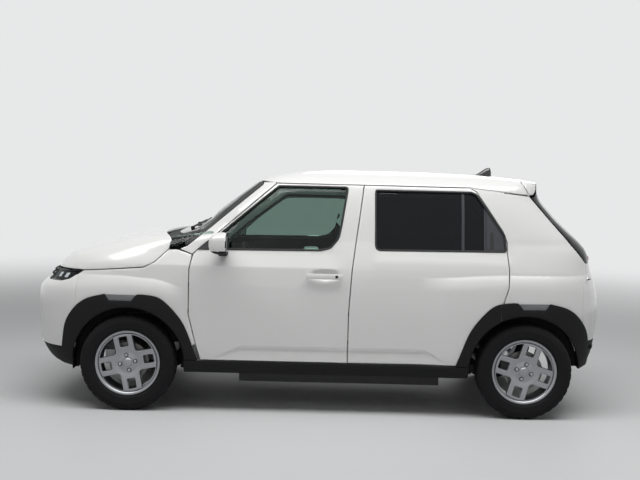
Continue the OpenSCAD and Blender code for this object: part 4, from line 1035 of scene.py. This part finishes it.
def flowing(points, steps=8):
    """Smooth open curve through points."""
    p = np.array([points[0]] + list(points) + [points[-1]], float)
    t = np.linspace(0, 1, steps, endpoint=False)[:, None]
    out = [0.5 * (2 * b + (c - a) * t + (2 * a - 5 * b + 4 * c - d) * t ** 2
                  + (3 * b - a - 3 * c + d) * t ** 3)
           for a, b, c, d in zip(p, p[1:], p[2:], p[3:])]
    return np.vstack(out + [p[-1:]])


def arch_outline(x, way):
    """Cladding around one wheel: smooth outer edge with a notch on top, round inner edge."""
    notch = rounded([(-165, 447)] + NOTCH + [(90, 453)], [0, 14, 12, 12, 14, 0])
    edge = np.vstack([flowing(ARCH_OUTER)[:-1], notch, flowing(ARCH_OUTER_BACK)[1:],
                      arc(0, 0, 367, 4, 176, 40)])
    return edge * [way, 1] + [x, AXLE_Z]


def cut_at(loop, x, keep_left):
    """Part of an outline on one side of an upright line."""
    out = []
    for p, q in zip(loop, np.roll(loop, -1, axis=0)):
        a, b = (p[0] < x) == keep_left, (q[0] < x) == keep_left
        if a:
            out.append(p)
        if a != b:
            out.append(p + (q - p) * (x - p[0]) / (q[0] - p[0]))
    return np.array(out)


def liner(x, side, start):
    """Wheel-arch liner: a bent sheet over the tyre with a flange on its inner side."""
    section = [(374, 704), (374, 600), (328, 600), (328, 604), (370, 604), (370, 704)]
    rows = np.radians(np.linspace(start, 189, 60))
    verts = np.array([(x + r * math.cos(a), side * y, AXLE_Z + r * math.sin(a))
                      for a in rows for r, y in section])
    faces = lofted(len(rows), len(section))
    return verts, [f[::-1] for f in faces] if side > 0 else faces


LIFT = 9.0
REAR_SEAM_X = NOSE_X + 3103
for side, name in SIDES:
    skin = side_skin(side)
    sill = drawn([(1051, 258), (2906, 258), (2906, 336), (1054, 336)])
    rear = arch_outline(REAR_AXLE, -1)
    behind = cut_at(spaced(rear, 12), REAR_SEAM_X + 1.2, False)
    parts = [sheet(BLACK_PLASTIC, skin, 12, arch_outline(FRONT_AXLE, 1), pitch=18, lift=LIFT, roll=4),
             sheet(BLACK_PLASTIC, skin, 12, behind, pitch=18, lift=LIFT, roll=3),
             sheet(BLACK_PLASTIC, skin, 14, rounded(sill, 8), pitch=24, lift=7, roll=4)]
    for x, way, liner_start in ((FRONT_AXLE, 1, -9), (REAR_AXLE, -1, 3)):
        insert = shrunk(np.array(NOTCH, float) * [way, 1] + [x, AXLE_Z - 1], 2.5)
        parts += [sheet(GREY_INSERT, skin, 8, rounded(insert, 8), pitch=14, lift=LIFT - 2, roll=2),
                  (*liner(x, side, liner_start), BLACK_PLASTIC)]
    piece("arch_cladding_" + name, "body", parts, ["claddings"] if side < 0 else (), "cladding")
    ahead = cut_at(spaced(rear, 12), REAR_SEAM_X - 1.2, True)
    piece("door_arch_" + name, "door_r" + name[0],
          [sheet(BLACK_PLASTIC, skin, 9, ahead, pitch=18, lift=LIFT, roll=3)],
          ["door_cladding_" + name], "cladding")

# Tailgate: a white lower panel and a roof spoiler joined by a black frame, hung on two steel straps
# from the roof's pins. The dark pane is bonded on from edge to edge.
TIP_LOW, TIP_RISE, TIP_RUN = 1449, 79, 330
tip_start = wrap_at(NOSE_X + 3313, TIP_LOW, False)


def tip_height(s):
    """Height of the spoiler's rear edge along the tail outline."""
    return TIP_LOW + TIP_RISE * step(0, 1, (tip_start - s) / TIP_RUN)


def spoiler_skin(x, y):
    """Roof surface carried on beyond the roof's end."""
    known = np.minimum(x, 1500.0)
    p = top_skin(known, y)
    p[:, 2] -= (x - known) * 0.22
    p[:, 0] = x
    return p


edge_s = np.linspace(tip_start, 0, 46)
edge = TAIL(edge_s, tip_height(edge_s))
corner_y = side_y(np.array([NOSE_X + 3261.0]), np.array([1534.0]))[0]
spoiler_half = np.vstack([[(NOSE_X + 3261, y) for y in np.linspace(0, corner_y, 18)[:-1]],
                          plan_of(drawn([(3261, 1534), (3311, 1453)])), edge[3:, :2]])
spoiler = shrunk(both_halves(spoiler_half), 2)
gate_edge = drawn([(3691, GATE_Z + 4), (3691, 1013)])


def tail_half(points):
    """Outline half on the tail from side-view points."""
    return np.array(wrapped(along(points, 26), False))


lower_half = np.vstack([[(0, GATE_Z + 4)], tail_half(gate_edge), [(0, 1010)]])
glass_side = tail_half([(NOSE_X + 3687, 1017), (NOSE_X + 3321, 1440)])
glass_top = [(s, tip_height(s) - 12 - 16 * step(0, 1, (tip_start - s) / TIP_RUN)) for s in edge_s[2:]]
glass_half = np.vstack([[(0, 1016)], glass_side, glass_top])
glass_outline = spaced(both_halves(glass_half, ROUND_END), 24)
gate_parts = [sheet(WHITE_PAINT, TAIL, 36, spaced(both_halves(lower_half, ROUND_END), 20), pitch=20, roll=4),
              sheet(WHITE_PAINT, spoiler_skin, 20, spoiler, pitch=20, roll=3),
              sheet(BLACK_PLASTIC, deeper(TAIL, 11), 40, shrunk(glass_outline, 8), shrunk(glass_outline, 66),
                    pitch=30, roll=4)]
for y in (-GATE_HINGE_Y, GATE_HINGE_Y):
    for end_x, end_z in ((1309.5, 1545), (1446, 1506)):
        gate_parts.append(slab(GREY_PRIMER, (1299.5, y - 13, 1496), (end_x, y + 13, end_z), 2))
piece("gate_panel", "tailgate", gate_parts, ["tailgate"], "paint")
piece("gate_glass", "tailgate", [sheet(DARK_GLASS, deeper(TAIL, 3), 5, glass_outline, pitch=30, roll=1.5)],
      ["tailgate_glass"], "tinted_glass")

# Tail lamps: two moulded red plastic covers set low in the dark pane, each with a brighter strip
# along its middle.
RED_COVER = finish("red_cover", (0.42, 0.012, 0.014), 0.08, grain=90, tone=0.08, Transmission_Weight=0.25,
                   Coat_Weight=0.8, Coat_Roughness=0.03)
RED_CORE = finish("red_core", (0.60, 0.03, 0.03), 0.25, grain=150, tone=0.1, Emission_Strength=0.08,
                  Emission_Color=(1, 0.1, 0.08, 1))
lamp_parts = []
for side in (-1, 1):
    cover = np.array([(270, 1024), (478, 1024), (470, 1058), (270, 1058)]) * [side, 1]
    strip = np.array([(288, 1036), (460, 1036), (456, 1046), (288, 1046)]) * [side, 1]
    lamp_parts += [sheet(RED_COVER, TAIL, 7, rounded(cover, 8), pitch=16, roll=2),
                   sheet(RED_CORE, TAIL, 4, rounded(strip, 4), pitch=14, lift=2.2, roll=1)]
piece("lamp_covers_rear", "tailgate", lamp_parts, ["tail_lamps"], "tail_lamp")

# Mirrors and outer door handles: moulded white caps over black feet, screwed to the front doors, and
# a white pull bar on two legs in front of the pressed bowl.
MIRROR_GLASS = finish("mirror_glass", (0.82, 0.83, 0.84), 0.02, grain=40, tone=0.03, rough_spread=0.01,
                      Metallic=1.0)
MIRROR_X = -577.0


def pillow(low, high, across=56, up=36, powers=(0.45, 0.45), shape=None, tilt=0.0):
    """Closed rounded form in a box; powers square it in plan and upright; tilt turns it about y."""
    low, high = np.array(low, float), np.array(high, float)
    u = np.linspace(0, 2 * math.pi, across, endpoint=False)
    v = np.linspace(-math.pi / 2, math.pi / 2, up + 1)[1:-1]

    def bent(t, power):
        return np.sign(t) * np.abs(t) ** power
    cv, sv = bent(np.cos(v), powers[1]), bent(np.sin(v), powers[1])
    flat = [cv[:, None] * bent(way(u), powers[0])[None] for way in (np.cos, np.sin)]
    unit = np.stack(flat + [np.repeat(sv[:, None], across, 1)], axis=2).reshape(-1, 3)
    unit = np.vstack([unit, [(0, 0, -1), (0, 0, 1)]])
    half = (high - low) / 2
    points = unit * half
    if shape:
        points = shape(points, unit, half)
    c, s = math.cos(math.radians(tilt)), math.sin(math.radians(tilt))
    x, y, z = points.T
    points = np.stack([c * x + s * z, y, -s * x + c * z], axis=1) + (low + high) / 2
    rows = len(v)
    faces = lofted(rows, across, capped=False)
    south, north = rows * across, rows * across + 1
    for k in range(across):
        j = (k + 1) % across
        faces.append((south, j, k))
        faces.append((north, (rows - 1) * across + k, (rows - 1) * across + j))
    return points, faces


for side, name in SIDES:
    def cap_shape(p, unit, half):
        p = p.copy()
        p[:, 0] = np.minimum(p[:, 0], half[0] * 0.62)
        p[:, 2] *= 1 - 0.16 * np.clip(-unit[:, 0], 0, 1)
        return p

    def mirror_plane(a, b):
        return np.stack([np.full(len(a), MIRROR_X), a, b], axis=1)
    y0, y1 = sorted((side * 776, side * 986))
    cap = pillow((-693, y0, 1040), (-552, y1, 1181), 64, 40, (0.5, 0.62), cap_shape)
    centre = np.array([cap[0][list(f)].mean(axis=0) for f in cap[1]])
    coats = [WHITE_PAINT if c[2] > 1066 and c[0] < -582 else BLACK_PLASTIC for c in centre]
    oval = rounded(oblong(side * 800, 1062, side * 964, 1160), 26)
    glass = pressing([oval], mirror_plane, 3, pitch=30, roll=1)
    if np.mean(glass[0][:, 0]) > MIRROR_X:
        glass = (glass[0], [f[::-1] for f in glass[1]])
    sail = drawn([(1120, 1056), (1290, 1062), (1298, 1082), (1210, 1128)])
    plain, bar = side_skin(side, pressed=False), rounded(oblong(-76, 888, 161, 921), 12)
    parts = [(*cap, coats), (*glass, MIRROR_GLASS),
             slab(BLACK_PLASTIC, (-640, side * 742, 1026), (-582, side * 842, 1056), 9, 3),
             sheet(GLOSS_BLACK, side_skin(side), 8, rounded(sail, 8), pitch=16, lift=5, roll=2),
             sheet(WHITE_PAINT, plain, 17, bar, pitch=12, lift=34, roll=6)]
    for x in (-70, 138):
        leg = rounded(oblong(x, 892, x + 20, 917), 6)
        parts.append(sheet(WHITE_PAINT, plain, 26, leg, pitch=12, lift=20, roll=2))
    knob = rounded(oblong(114, 897, 132, 913), 5)
    parts.append(sheet(BLACK_PLASTIC, plain, 5, knob, pitch=8, lift=36, roll=1.5))
    piece("fittings_" + name, "door_f" + name[0], parts, ["fittings_" + name], "paint")

# Wipers: two black painted steel arms on shafts in the cowl, each with a rubber blade that lies on
# the foot of the windscreen.
WIPERS = [(-436, 1172, 60, 1222), (60, 1178, 500, 1208)]
wiper_parts, t = [], np.linspace(0, 1, 16)
for s0, z0, s1, z1 in WIPERS:
    arm = deeper(NOSE, -11)(s0 + (s1 - s0) * t * 0.8, z0 + (z1 - z0) * t * 0.75)
    blade = deeper(NOSE, -5)(s0 + (s1 - s0) * (0.2 + 0.8 * t), z0 + 4 + (z1 - z0) * (0.2 + 0.8 * t))
    boss = pillow(arm[0] - [14, 14, 16], arm[0] + [14, 14, 10], 20, 12, (0.7, 0.7))
    wiper_parts += [(*tube(arm, np.linspace(7, 4, 16), 8), BLACK_PLASTIC), (*tube(blade, 5, 6), BLACK_SEAL),
                    (*boss, BLACK_PLASTIC)]
piece("wiper_arms", "body", wiper_parts, ["wipers"], "cladding")

# Antenna: one black moulded fin, glossy, screwed to the roof above the tailgate. It rises towards
# the rear and ends steeply.
FIN_X, FIN_LENGTH, FIN_ROWS, FIN_AROUND = 1086, 132, 22, 11
fin_points = []
for t in np.linspace(0, 1, FIN_ROWS):
    x = FIN_X + FIN_LENGTH * t
    base = top_skin(np.array([x]), np.array([0.0]))[0, 2] - 2
    height = 5 + 58 * step(0.02, 0.9, t) * (1 - 0.55 * step(0.93, 1.0, t))
    wide = 25 * (1 - (2 * t - 1) ** 4) ** 0.5 * (1 - 0.2 * t) + 1.0
    for a in np.linspace(0, math.pi, FIN_AROUND):
        fin_points.append((x, wide * math.cos(a) * (0.32 + 0.68 * abs(math.cos(a))),
                           base + height * math.sin(a) ** 0.8))
fin_faces = [f[::-1] for f in lofted(FIN_ROWS, FIN_AROUND)]
piece("antenna_fin", "body", [(np.array(fin_points), fin_faces, GLOSS_BLACK)], ["antenna"], "cladding", 50)

# Wheels: rubber tyres with cut tread on cast grey alloy wheels; every pair of spokes frames a square window.
# Four nuts hold each wheel, a cap covers the hub, and a darker alloy disc round each nut is painted shade of
# its pocket.
RUBBER = finish("tyre_rubber", (0.008, 0.008, 0.009), 0.76, grain=600, patch=9, tone=0.35, bump=0.5,
                bump_depth=0.0003, Specular_IOR_Level=0.18)
ALLOY = finish("cast_alloy", (0.32, 0.325, 0.34), 0.32, grain=900, patch=8, tone=0.06, Metallic=0.85,
               Coat_Weight=0.3)
# darker alloy for the disc round each nut: painted shade of the nut's pocket
NUT_POCKET_SHADE = finish("nut_pocket_painted_shade", (0.10, 0.102, 0.106), 0.5, grain=600, patch=8, tone=0.1, Metallic=0.5)
NUT_STEEL = finish("nut_steel", (0.50, 0.50, 0.51), 0.3, grain=500, tone=0.1, Metallic=1.0)
TRACK_HALF, NUT_CIRCLE, QUARTERS = 700, 50, range(0, 360, 90)
# radius from the axle, distance outwards from the tyre's middle
TYRE_HALF = [(198, 58), (204, 62), (213, 66), (213.6, 74), (215.5, 79), (220, 84), (226, 88), (229, 90.2),
             (232, 90.4), (235, 90.2), (242, 91.8), (252, 92.3), (262, 92.3), (264, 92.9), (267, 92.9),
             (269, 91.9), (280, 90), (291, 86), (298, 81), (301, 79.5), (304.5, 75), (307.5, 69), (309.5, 61),
             (310.4, 52), (310.6, 46), (304, 44.8), (304, 38), (310.8, 36.8), (311, 24), (311, 13.2),
             (304, 12), (304, 5.2), (311, 4)]
tyre_profile = np.array(TYRE_HALF + [(r, -c) for r, c in TYRE_HALF[::-1]])
RIM_PROFILE = [(182, -72), (205, -72.5), (207.5, -71), (207.5, -66), (198, -61.5), (195.5, -55), (195.5, 55),
               (198, 61.5), (211.4, 65.6), (212.2, 68), (212, 73), (210, 76), (206, 76.6), (200, 74.8),
               (194, 69), (190, 62), (186, 50), (183, 30), (182, 0)]
CAP_PROFILE = [(0.01, 74), (14, 73.6), (25, 72), (28.5, 69), (29, 63), (29, 50), (0.01, 50)]


def turned(profile, around, place, cut=None):
    """Closed profile of radius and offset turned about the wheel's axis."""
    profile = np.asarray(profile, float)
    verts = []
    for k in range(around):
        a = 2 * math.pi * k / around
        r = profile[:, 0] - (cut(k, profile) if cut else 0)
        verts.append(place(r * math.cos(a), r * math.sin(a), profile[:, 1]))
    return np.vstack(verts), lofted(around, len(profile), closed=True)


def outward(part):
    """Turn all faces when the closed form has its inside out."""
    verts, faces = part
    total = 0.0
    middle = verts.mean(axis=0)
    for f in faces:
        p = verts[list(f)] - middle
        for k in range(1, len(p) - 1):
            total += np.dot(p[0], np.cross(p[k], p[k + 1]))
    return (verts, faces) if total > 0 else (verts, [tuple(f)[::-1] for f in faces])


def tread_cut(k, profile):
    """Cross grooves of the shoulder and, half a step on, fine cuts in the ribs."""
    shoulder = (profile[:, 0] > 300) & (np.abs(profile[:, 1]) > 46)
    rib = (profile[:, 0] > 309) & (np.abs(profile[:, 1]) < 46)
    return np.where(shoulder & (k % 4 == 0), 3.5, 0) + np.where(rib & (k % 4 == 2), 2.5, 0)


def spun(points, angle):
    """Points turned about the wheel's axis."""
    c, s = math.cos(math.radians(angle)), math.sin(math.radians(angle))
    points = np.asarray(points, float)
    return np.stack([c * points[:, 0] - s * points[:, 1], s * points[:, 0] + c * points[:, 1]], axis=1)


hex_nut = [(9.5 * math.cos(math.radians(60 * k)), 9.5 * math.sin(math.radians(60 * k))) for k in range(6)]
WHEELS = [("front_left", "wheel_fl", FRONT_AXLE, -1, 12), ("front_right", "wheel_fr", FRONT_AXLE, 1, 12),
          ("rear_left", "wheel_rl", REAR_AXLE, -1, -17), ("rear_right", "wheel_rr", REAR_AXLE, 1, -17)]
for name, body_name, wheel_x, side, turn in WHEELS:
    def place(a, b, c, x=wheel_x, side=side):
        a, b, c = np.broadcast_arrays(a, b, c)
        return np.stack([x + a, side * (TRACK_HALF + c), AXLE_Z + b], axis=1)

    def face_skin(a, b, place=place):
        r = np.hypot(a, b)
        return place(a, b, 60 + 8 * step(60, 178, r) - 5 * np.exp(-((r - 66) / 14) ** 2))
    tyre = outward(turned(tyre_profile, 144, place, tread_cut))
    piece("tyre_" + name, body_name, [(*tyre, RUBBER)], ["tyre_" + name], "tyre")
    sector = [(62, 62), (176.5, 62)] + arc(0, 0, 187, 20.5, 69.5, 12)[1:-1] + [(62, 176.5)]
    sector = rounded(sector, [24, 14] + [0] * 10 + [14])
    window = rounded(oblong(106, -27, 172, 27), 9)
    loops = [np.array(arc(0, 0, 189, 0, 356.25, 96))]
    loops += [spun(hole, turn + quarter) for hole in (sector, window) for quarter in QUARTERS]
    parts = [(*outward(pressing(loops, face_skin, 34, pitch=11, roll=4)), ALLOY),
             (*outward(turned(RIM_PROFILE, 120, place)), ALLOY),
             (*outward(turned(CAP_PROFILE, 40, place)), ALLOY)]
    for quarter in QUARTERS:
        # a flat dark disc round each nut, raised just off the face: painted shade of its pocket
        pocket = np.array(arc(*spun([(NUT_CIRCLE, 0)], turn + quarter)[0], 15.5, 0, 345, 24))
        parts.append((*outward(pressing([pocket], face_skin, 3, pitch=9, lift=0.7, roll=0.6)), NUT_POCKET_SHADE))
    piece("wheel_" + name, body_name, parts, ["rim_" + name], "rim", 32)
    circle = [(NUT_CIRCLE, 0), (0, NUT_CIRCLE), (-NUT_CIRCLE, 0), (0, -NUT_CIRCLE)]
    out = side * 6.0
    levels = ((-out, 1), (out, 1), (out * 1.5, 0.72))
    nut = np.array([(narrow * a, y, narrow * b) for y, narrow in levels for a, b in hex_nut])
    nut_faces = [tuple(range(6))] + lofted(3, 6, capped=False) + [tuple(range(12, 18))[::-1]]
    repeated("wheel_nuts_" + name, body_name, place(*spun(circle, turn).T, 62.0), outward((nut, nut_faces)),
             NUT_STEEL)

# Running gear, floor and bulkhead: welded steel under black coating, cast drive and knuckles, and turned
# steel hubs. These keep their solid shapes and get a finish; the hubs' steel grey is darkened with painted
# shade.
UNDERCOAT = finish("undercoat", (0.028, 0.028, 0.029), 0.75, grain=300, patch=5, tone=0.4, bump=0.5,
                   bump_depth=0.0005)
CASTING = finish("casting", (0.22, 0.22, 0.225), 0.5, grain=450, patch=6, tone=0.15, bump=0.4, Metallic=0.8)
# hub steel: its own steel grey, darkened further as painted shade behind the spokes
SHADED_HUB_STEEL = finish("hub_steel_painted_shade", (0.17, 0.168, 0.164), 0.46, grain=350, patch=7, tone=0.12, Metallic=0.9)
finishes = {UNDERCOAT: ("floor_pan", "wheelhouses", "bulkhead", "front_suspension", "rear_axle",
                        "battery_pack"),
            CASTING: ("drive_unit", "knuckle_left", "knuckle_right"),
            SHADED_HUB_STEEL: ["hub_" + wheel[0] for wheel in WHEELS]}
for material, names in finishes.items():
    for name in names:
        mesh = bpy.data.objects[name].data
        mesh.materials.clear()
        mesh.materials.append(material)

# Dashboard: one moulded black shell across the car with a soft grained skin, screwed to the bulkhead,
# with a pale strip, four vents and two screens.
SOFT_TRIM = finish("soft_trim", (0.045, 0.046, 0.05), 0.68, grain=700, tone=0.15, bump=0.5, bump_depth=0.0003)
SCREEN = finish("screen", (0.012, 0.014, 0.018), 0.08, grain=60, tone=0.2, Coat_Weight=0.8,
                Coat_Roughness=0.02)
PALE_TRIM = finish("pale_trim", (0.36, 0.36, 0.35), 0.5, grain=600, tone=0.06)


def prism(profile, y0, y1):
    """Side-view outline carried across the car, drawn in a little at both ends."""
    profile = np.asarray(profile, float)
    middle = profile.mean(axis=0)
    rows = np.concatenate([[y0], np.linspace(y0 + 8, y1 - 8, 24), [y1]])
    verts = []
    for y in rows:
        p = middle + (profile - middle) * (0.985 if y in (y0, y1) else 1)
        verts.append(np.stack([p[:, 0], np.full(len(p), y), p[:, 1]], axis=1))
    return outward((np.vstack(verts), lofted(len(rows), len(profile))))


VENTS = (-520, -100, 100, 520)
dash = rounded([(-808, 1012), (-690, 1030), (-604, 1008), (-574, 950), (-578, 820), (-626, 742), (-660, 644),
                (-808, 644)], [10, 60, 50, 50, 40, 40, 20, 10])
dash_parts = [(*prism(dash, -590, 590), SOFT_TRIM), slab(PALE_TRIM, (-578, -560, 868), (-566, 560, 892), 5)]
dash_parts += [slab(BLACK_PLASTIC, (-584, y - 55, 905), (-568, y + 55, 945), 6) for y in VENTS]
dash_parts += [slab(SCREEN, (-640, -130, 975), (-622, 130, 1105), 6),
               slab(SCREEN, (-650, -480, 1000), (-634, -250, 1085), 6)]
piece("dash_shell", "body", dash_parts, ["dashboard"], "cabin_plastic")
fins = [(-567, y + d, 925) for y in VENTS for d in np.arange(-42, 43, 14.0)]
repeated("dash_vents", "body", fins, block((-2, -1.6, -15), (2, 1.6, 15), 0.6), PALE_TRIM)

# Steering wheel: a steel ring in padded grained leather, three pale spokes and a soft hub, on a
# column that leans back.
LEATHER = finish("grained_leather", (0.020, 0.020, 0.021), 0.5, grain=900, tone=0.2, bump=0.7,
                 bump_depth=0.0003)
COLUMN_LEAN, WHEEL_CENTRE, GRIP_R = math.radians(65), [-437.5, -360, 925], 167.5


def on_column(form, coat):
    """A form in the wheel's own axes, put on the tilted column, with its finish."""
    x, y, z = np.asarray(form[0], float).T
    c, s = math.cos(COLUMN_LEAN), math.sin(COLUMN_LEAN)
    return np.stack([c * x + s * z, y, -s * x + c * z], axis=1) + WHEEL_CENTRE, form[1], coat


circle = [(GRIP_R * math.cos(a), GRIP_R * math.sin(a), 0)
          for a in np.linspace(0, 2 * math.pi, 72, endpoint=False)]
wheel_parts = [on_column(tube(circle, 15, 14, True), LEATHER),
               on_column(pillow((-66, -66, -46), (66, 66, -4), 40, 20, (0.8, 0.4)), SOFT_TRIM)]
for a in (0, 90, 270):
    points, faces = block((40, -19, -21), (160, 19, -5), 6)
    wheel_parts.append(on_column((np.column_stack([spun(points, a), points[:, 2]]), faces), PALE_TRIM))
wheel_parts.append(on_column(tube([(0, 0, -210), (0, 0, -40)], 19, 20), BLACK_PLASTIC))
piece("steering_wheel_rim", "steering", wheel_parts, ["steering_wheel"], "cabin_plastic", 50)


# Seats: foam pads in woven grey cloth with side rolls and sewn grooves, on moulded bases bolted to
# the floor. The head rests stand on bright posts.
def woven_cloth():
    """Cloth of two crossing threads with a slight change of tone."""
    material = finish("seat_cloth", (0.115, 0.117, 0.122), 0.92, grain=900, patch=5, tone=0.25,
                      Sheen_Weight=0.25)
    nodes = material.node_tree.nodes
    coords = nodes.new("ShaderNodeTexCoord")
    heights = []
    for direction in ("X", "Z"):
        wave = nodes.new("ShaderNodeTexWave")
        wave.bands_direction = direction
        wave.inputs["Scale"].default_value = 110.0
        wave.inputs["Distortion"].default_value = 0.6
        wire(material.node_tree, (coords.outputs["Object"], wave.inputs["Vector"]))
        heights.append(wave.outputs["Fac"])
    both = nodes.new("ShaderNodeMath")
    both.operation = "MAXIMUM"
    raised = nodes.new("ShaderNodeBump")
    raised.inputs["Strength"].default_value = 0.5
    raised.inputs["Distance"].default_value = 0.0008
    wire(material.node_tree, (heights[0], both.inputs[0]), (heights[1], both.inputs[1]),
         (both.outputs[0], raised.inputs["Height"]),
         (raised.outputs["Normal"], nodes["Principled BSDF"].inputs["Normal"]))
    return material


CLOTH = woven_cloth()


def sewn(axis, lines, cross, bolster):
    """Raised side rolls and sewn grooves on a pad whose face looks along an axis."""
    def shape(p, unit, half):
        p = p.copy()
        long_axis, way = (0, 1) if axis == 2 else (2, -1)
        face = np.clip(unit[:, axis] * way, 0, 1) ** 0.5
        rise = bolster * step(0.5, 0.85, np.abs(unit[:, 1]))
        dent = sum(5 * np.exp(-((np.abs(p[:, 1]) - d) / 7) ** 2) for d in lines)
        between = np.abs(p[:, 1]) < max(lines)
        dent = dent + sum(4 * np.exp(-((p[:, long_axis] - d) / 7) ** 2) * between for d in cross)
        p[:, axis] += face * (rise - dent) * way
        return p
    return shape


def pad(*form):
    """A padded form in seat cloth."""
    return (*pillow(*form), CLOTH)


SEAT_Y, PAD_HALF = 355, 236
pads, bases = [], [slab(DOOR_TRIM, (627, -540, 276), (928, 540, 410), 14, 3),
                   slab(DOOR_TRIM, (862, -440, 400), (928, 440, 578), 10, 3)]
for y in (-SEAT_Y, SEAT_Y):
    near, far = y - PAD_HALF, y + PAD_HALF
    pads += [pad((-355, near, 440), (170, far, 538), 96, 40, (0.35, 0.5), sewn(2, (150,), (-80, 60), 12)),
             pad((155, near, 462), (260, far, 1098), 96, 72, (0.5, 0.35),
                 sewn(0, (150,), (-120, 40, 180), 16), 15.1),
             pad((258, y - 122, 1084), (340, y + 122, 1236), 56, 36, (0.55, 0.5), None, 12)]
    bases += [(*tube([(292, y + d, 1030), (300, y + d, 1110)], 6, 10), CHROME) for d in (-45, 45)]
    bases.append(slab(DOOR_TRIM, (-272, y - 200, 276), (127, y + 200, 450), 14, 3))
front_seats = piece("front_seat_pads", "body", pads, ["front_seats"], "seat_cloth", 60)
pads = [pad((560, -574, 392), (928, 574, 488), 120, 40, (0.28, 0.5), sewn(2, (180, 380), (-60,), 6)),
        pad((938, -480, 520), (1042, 480, 1112), 120, 72, (0.4, 0.3),
            sewn(0, (160, 320), (-60, 100), 6), 12.8)]
pads += [pad((1028, y - 105, 1088), (1092, y + 105, 1190), 48, 28, (0.55, 0.5), None, 12)
         for y in (-300, 0, 300)]
rear_seat = piece("rear_seat_pads", "body", pads, ["rear_seat"], "seat_cloth", 60)
piece("seat_bases", "body", bases, (), "cabin_plastic")
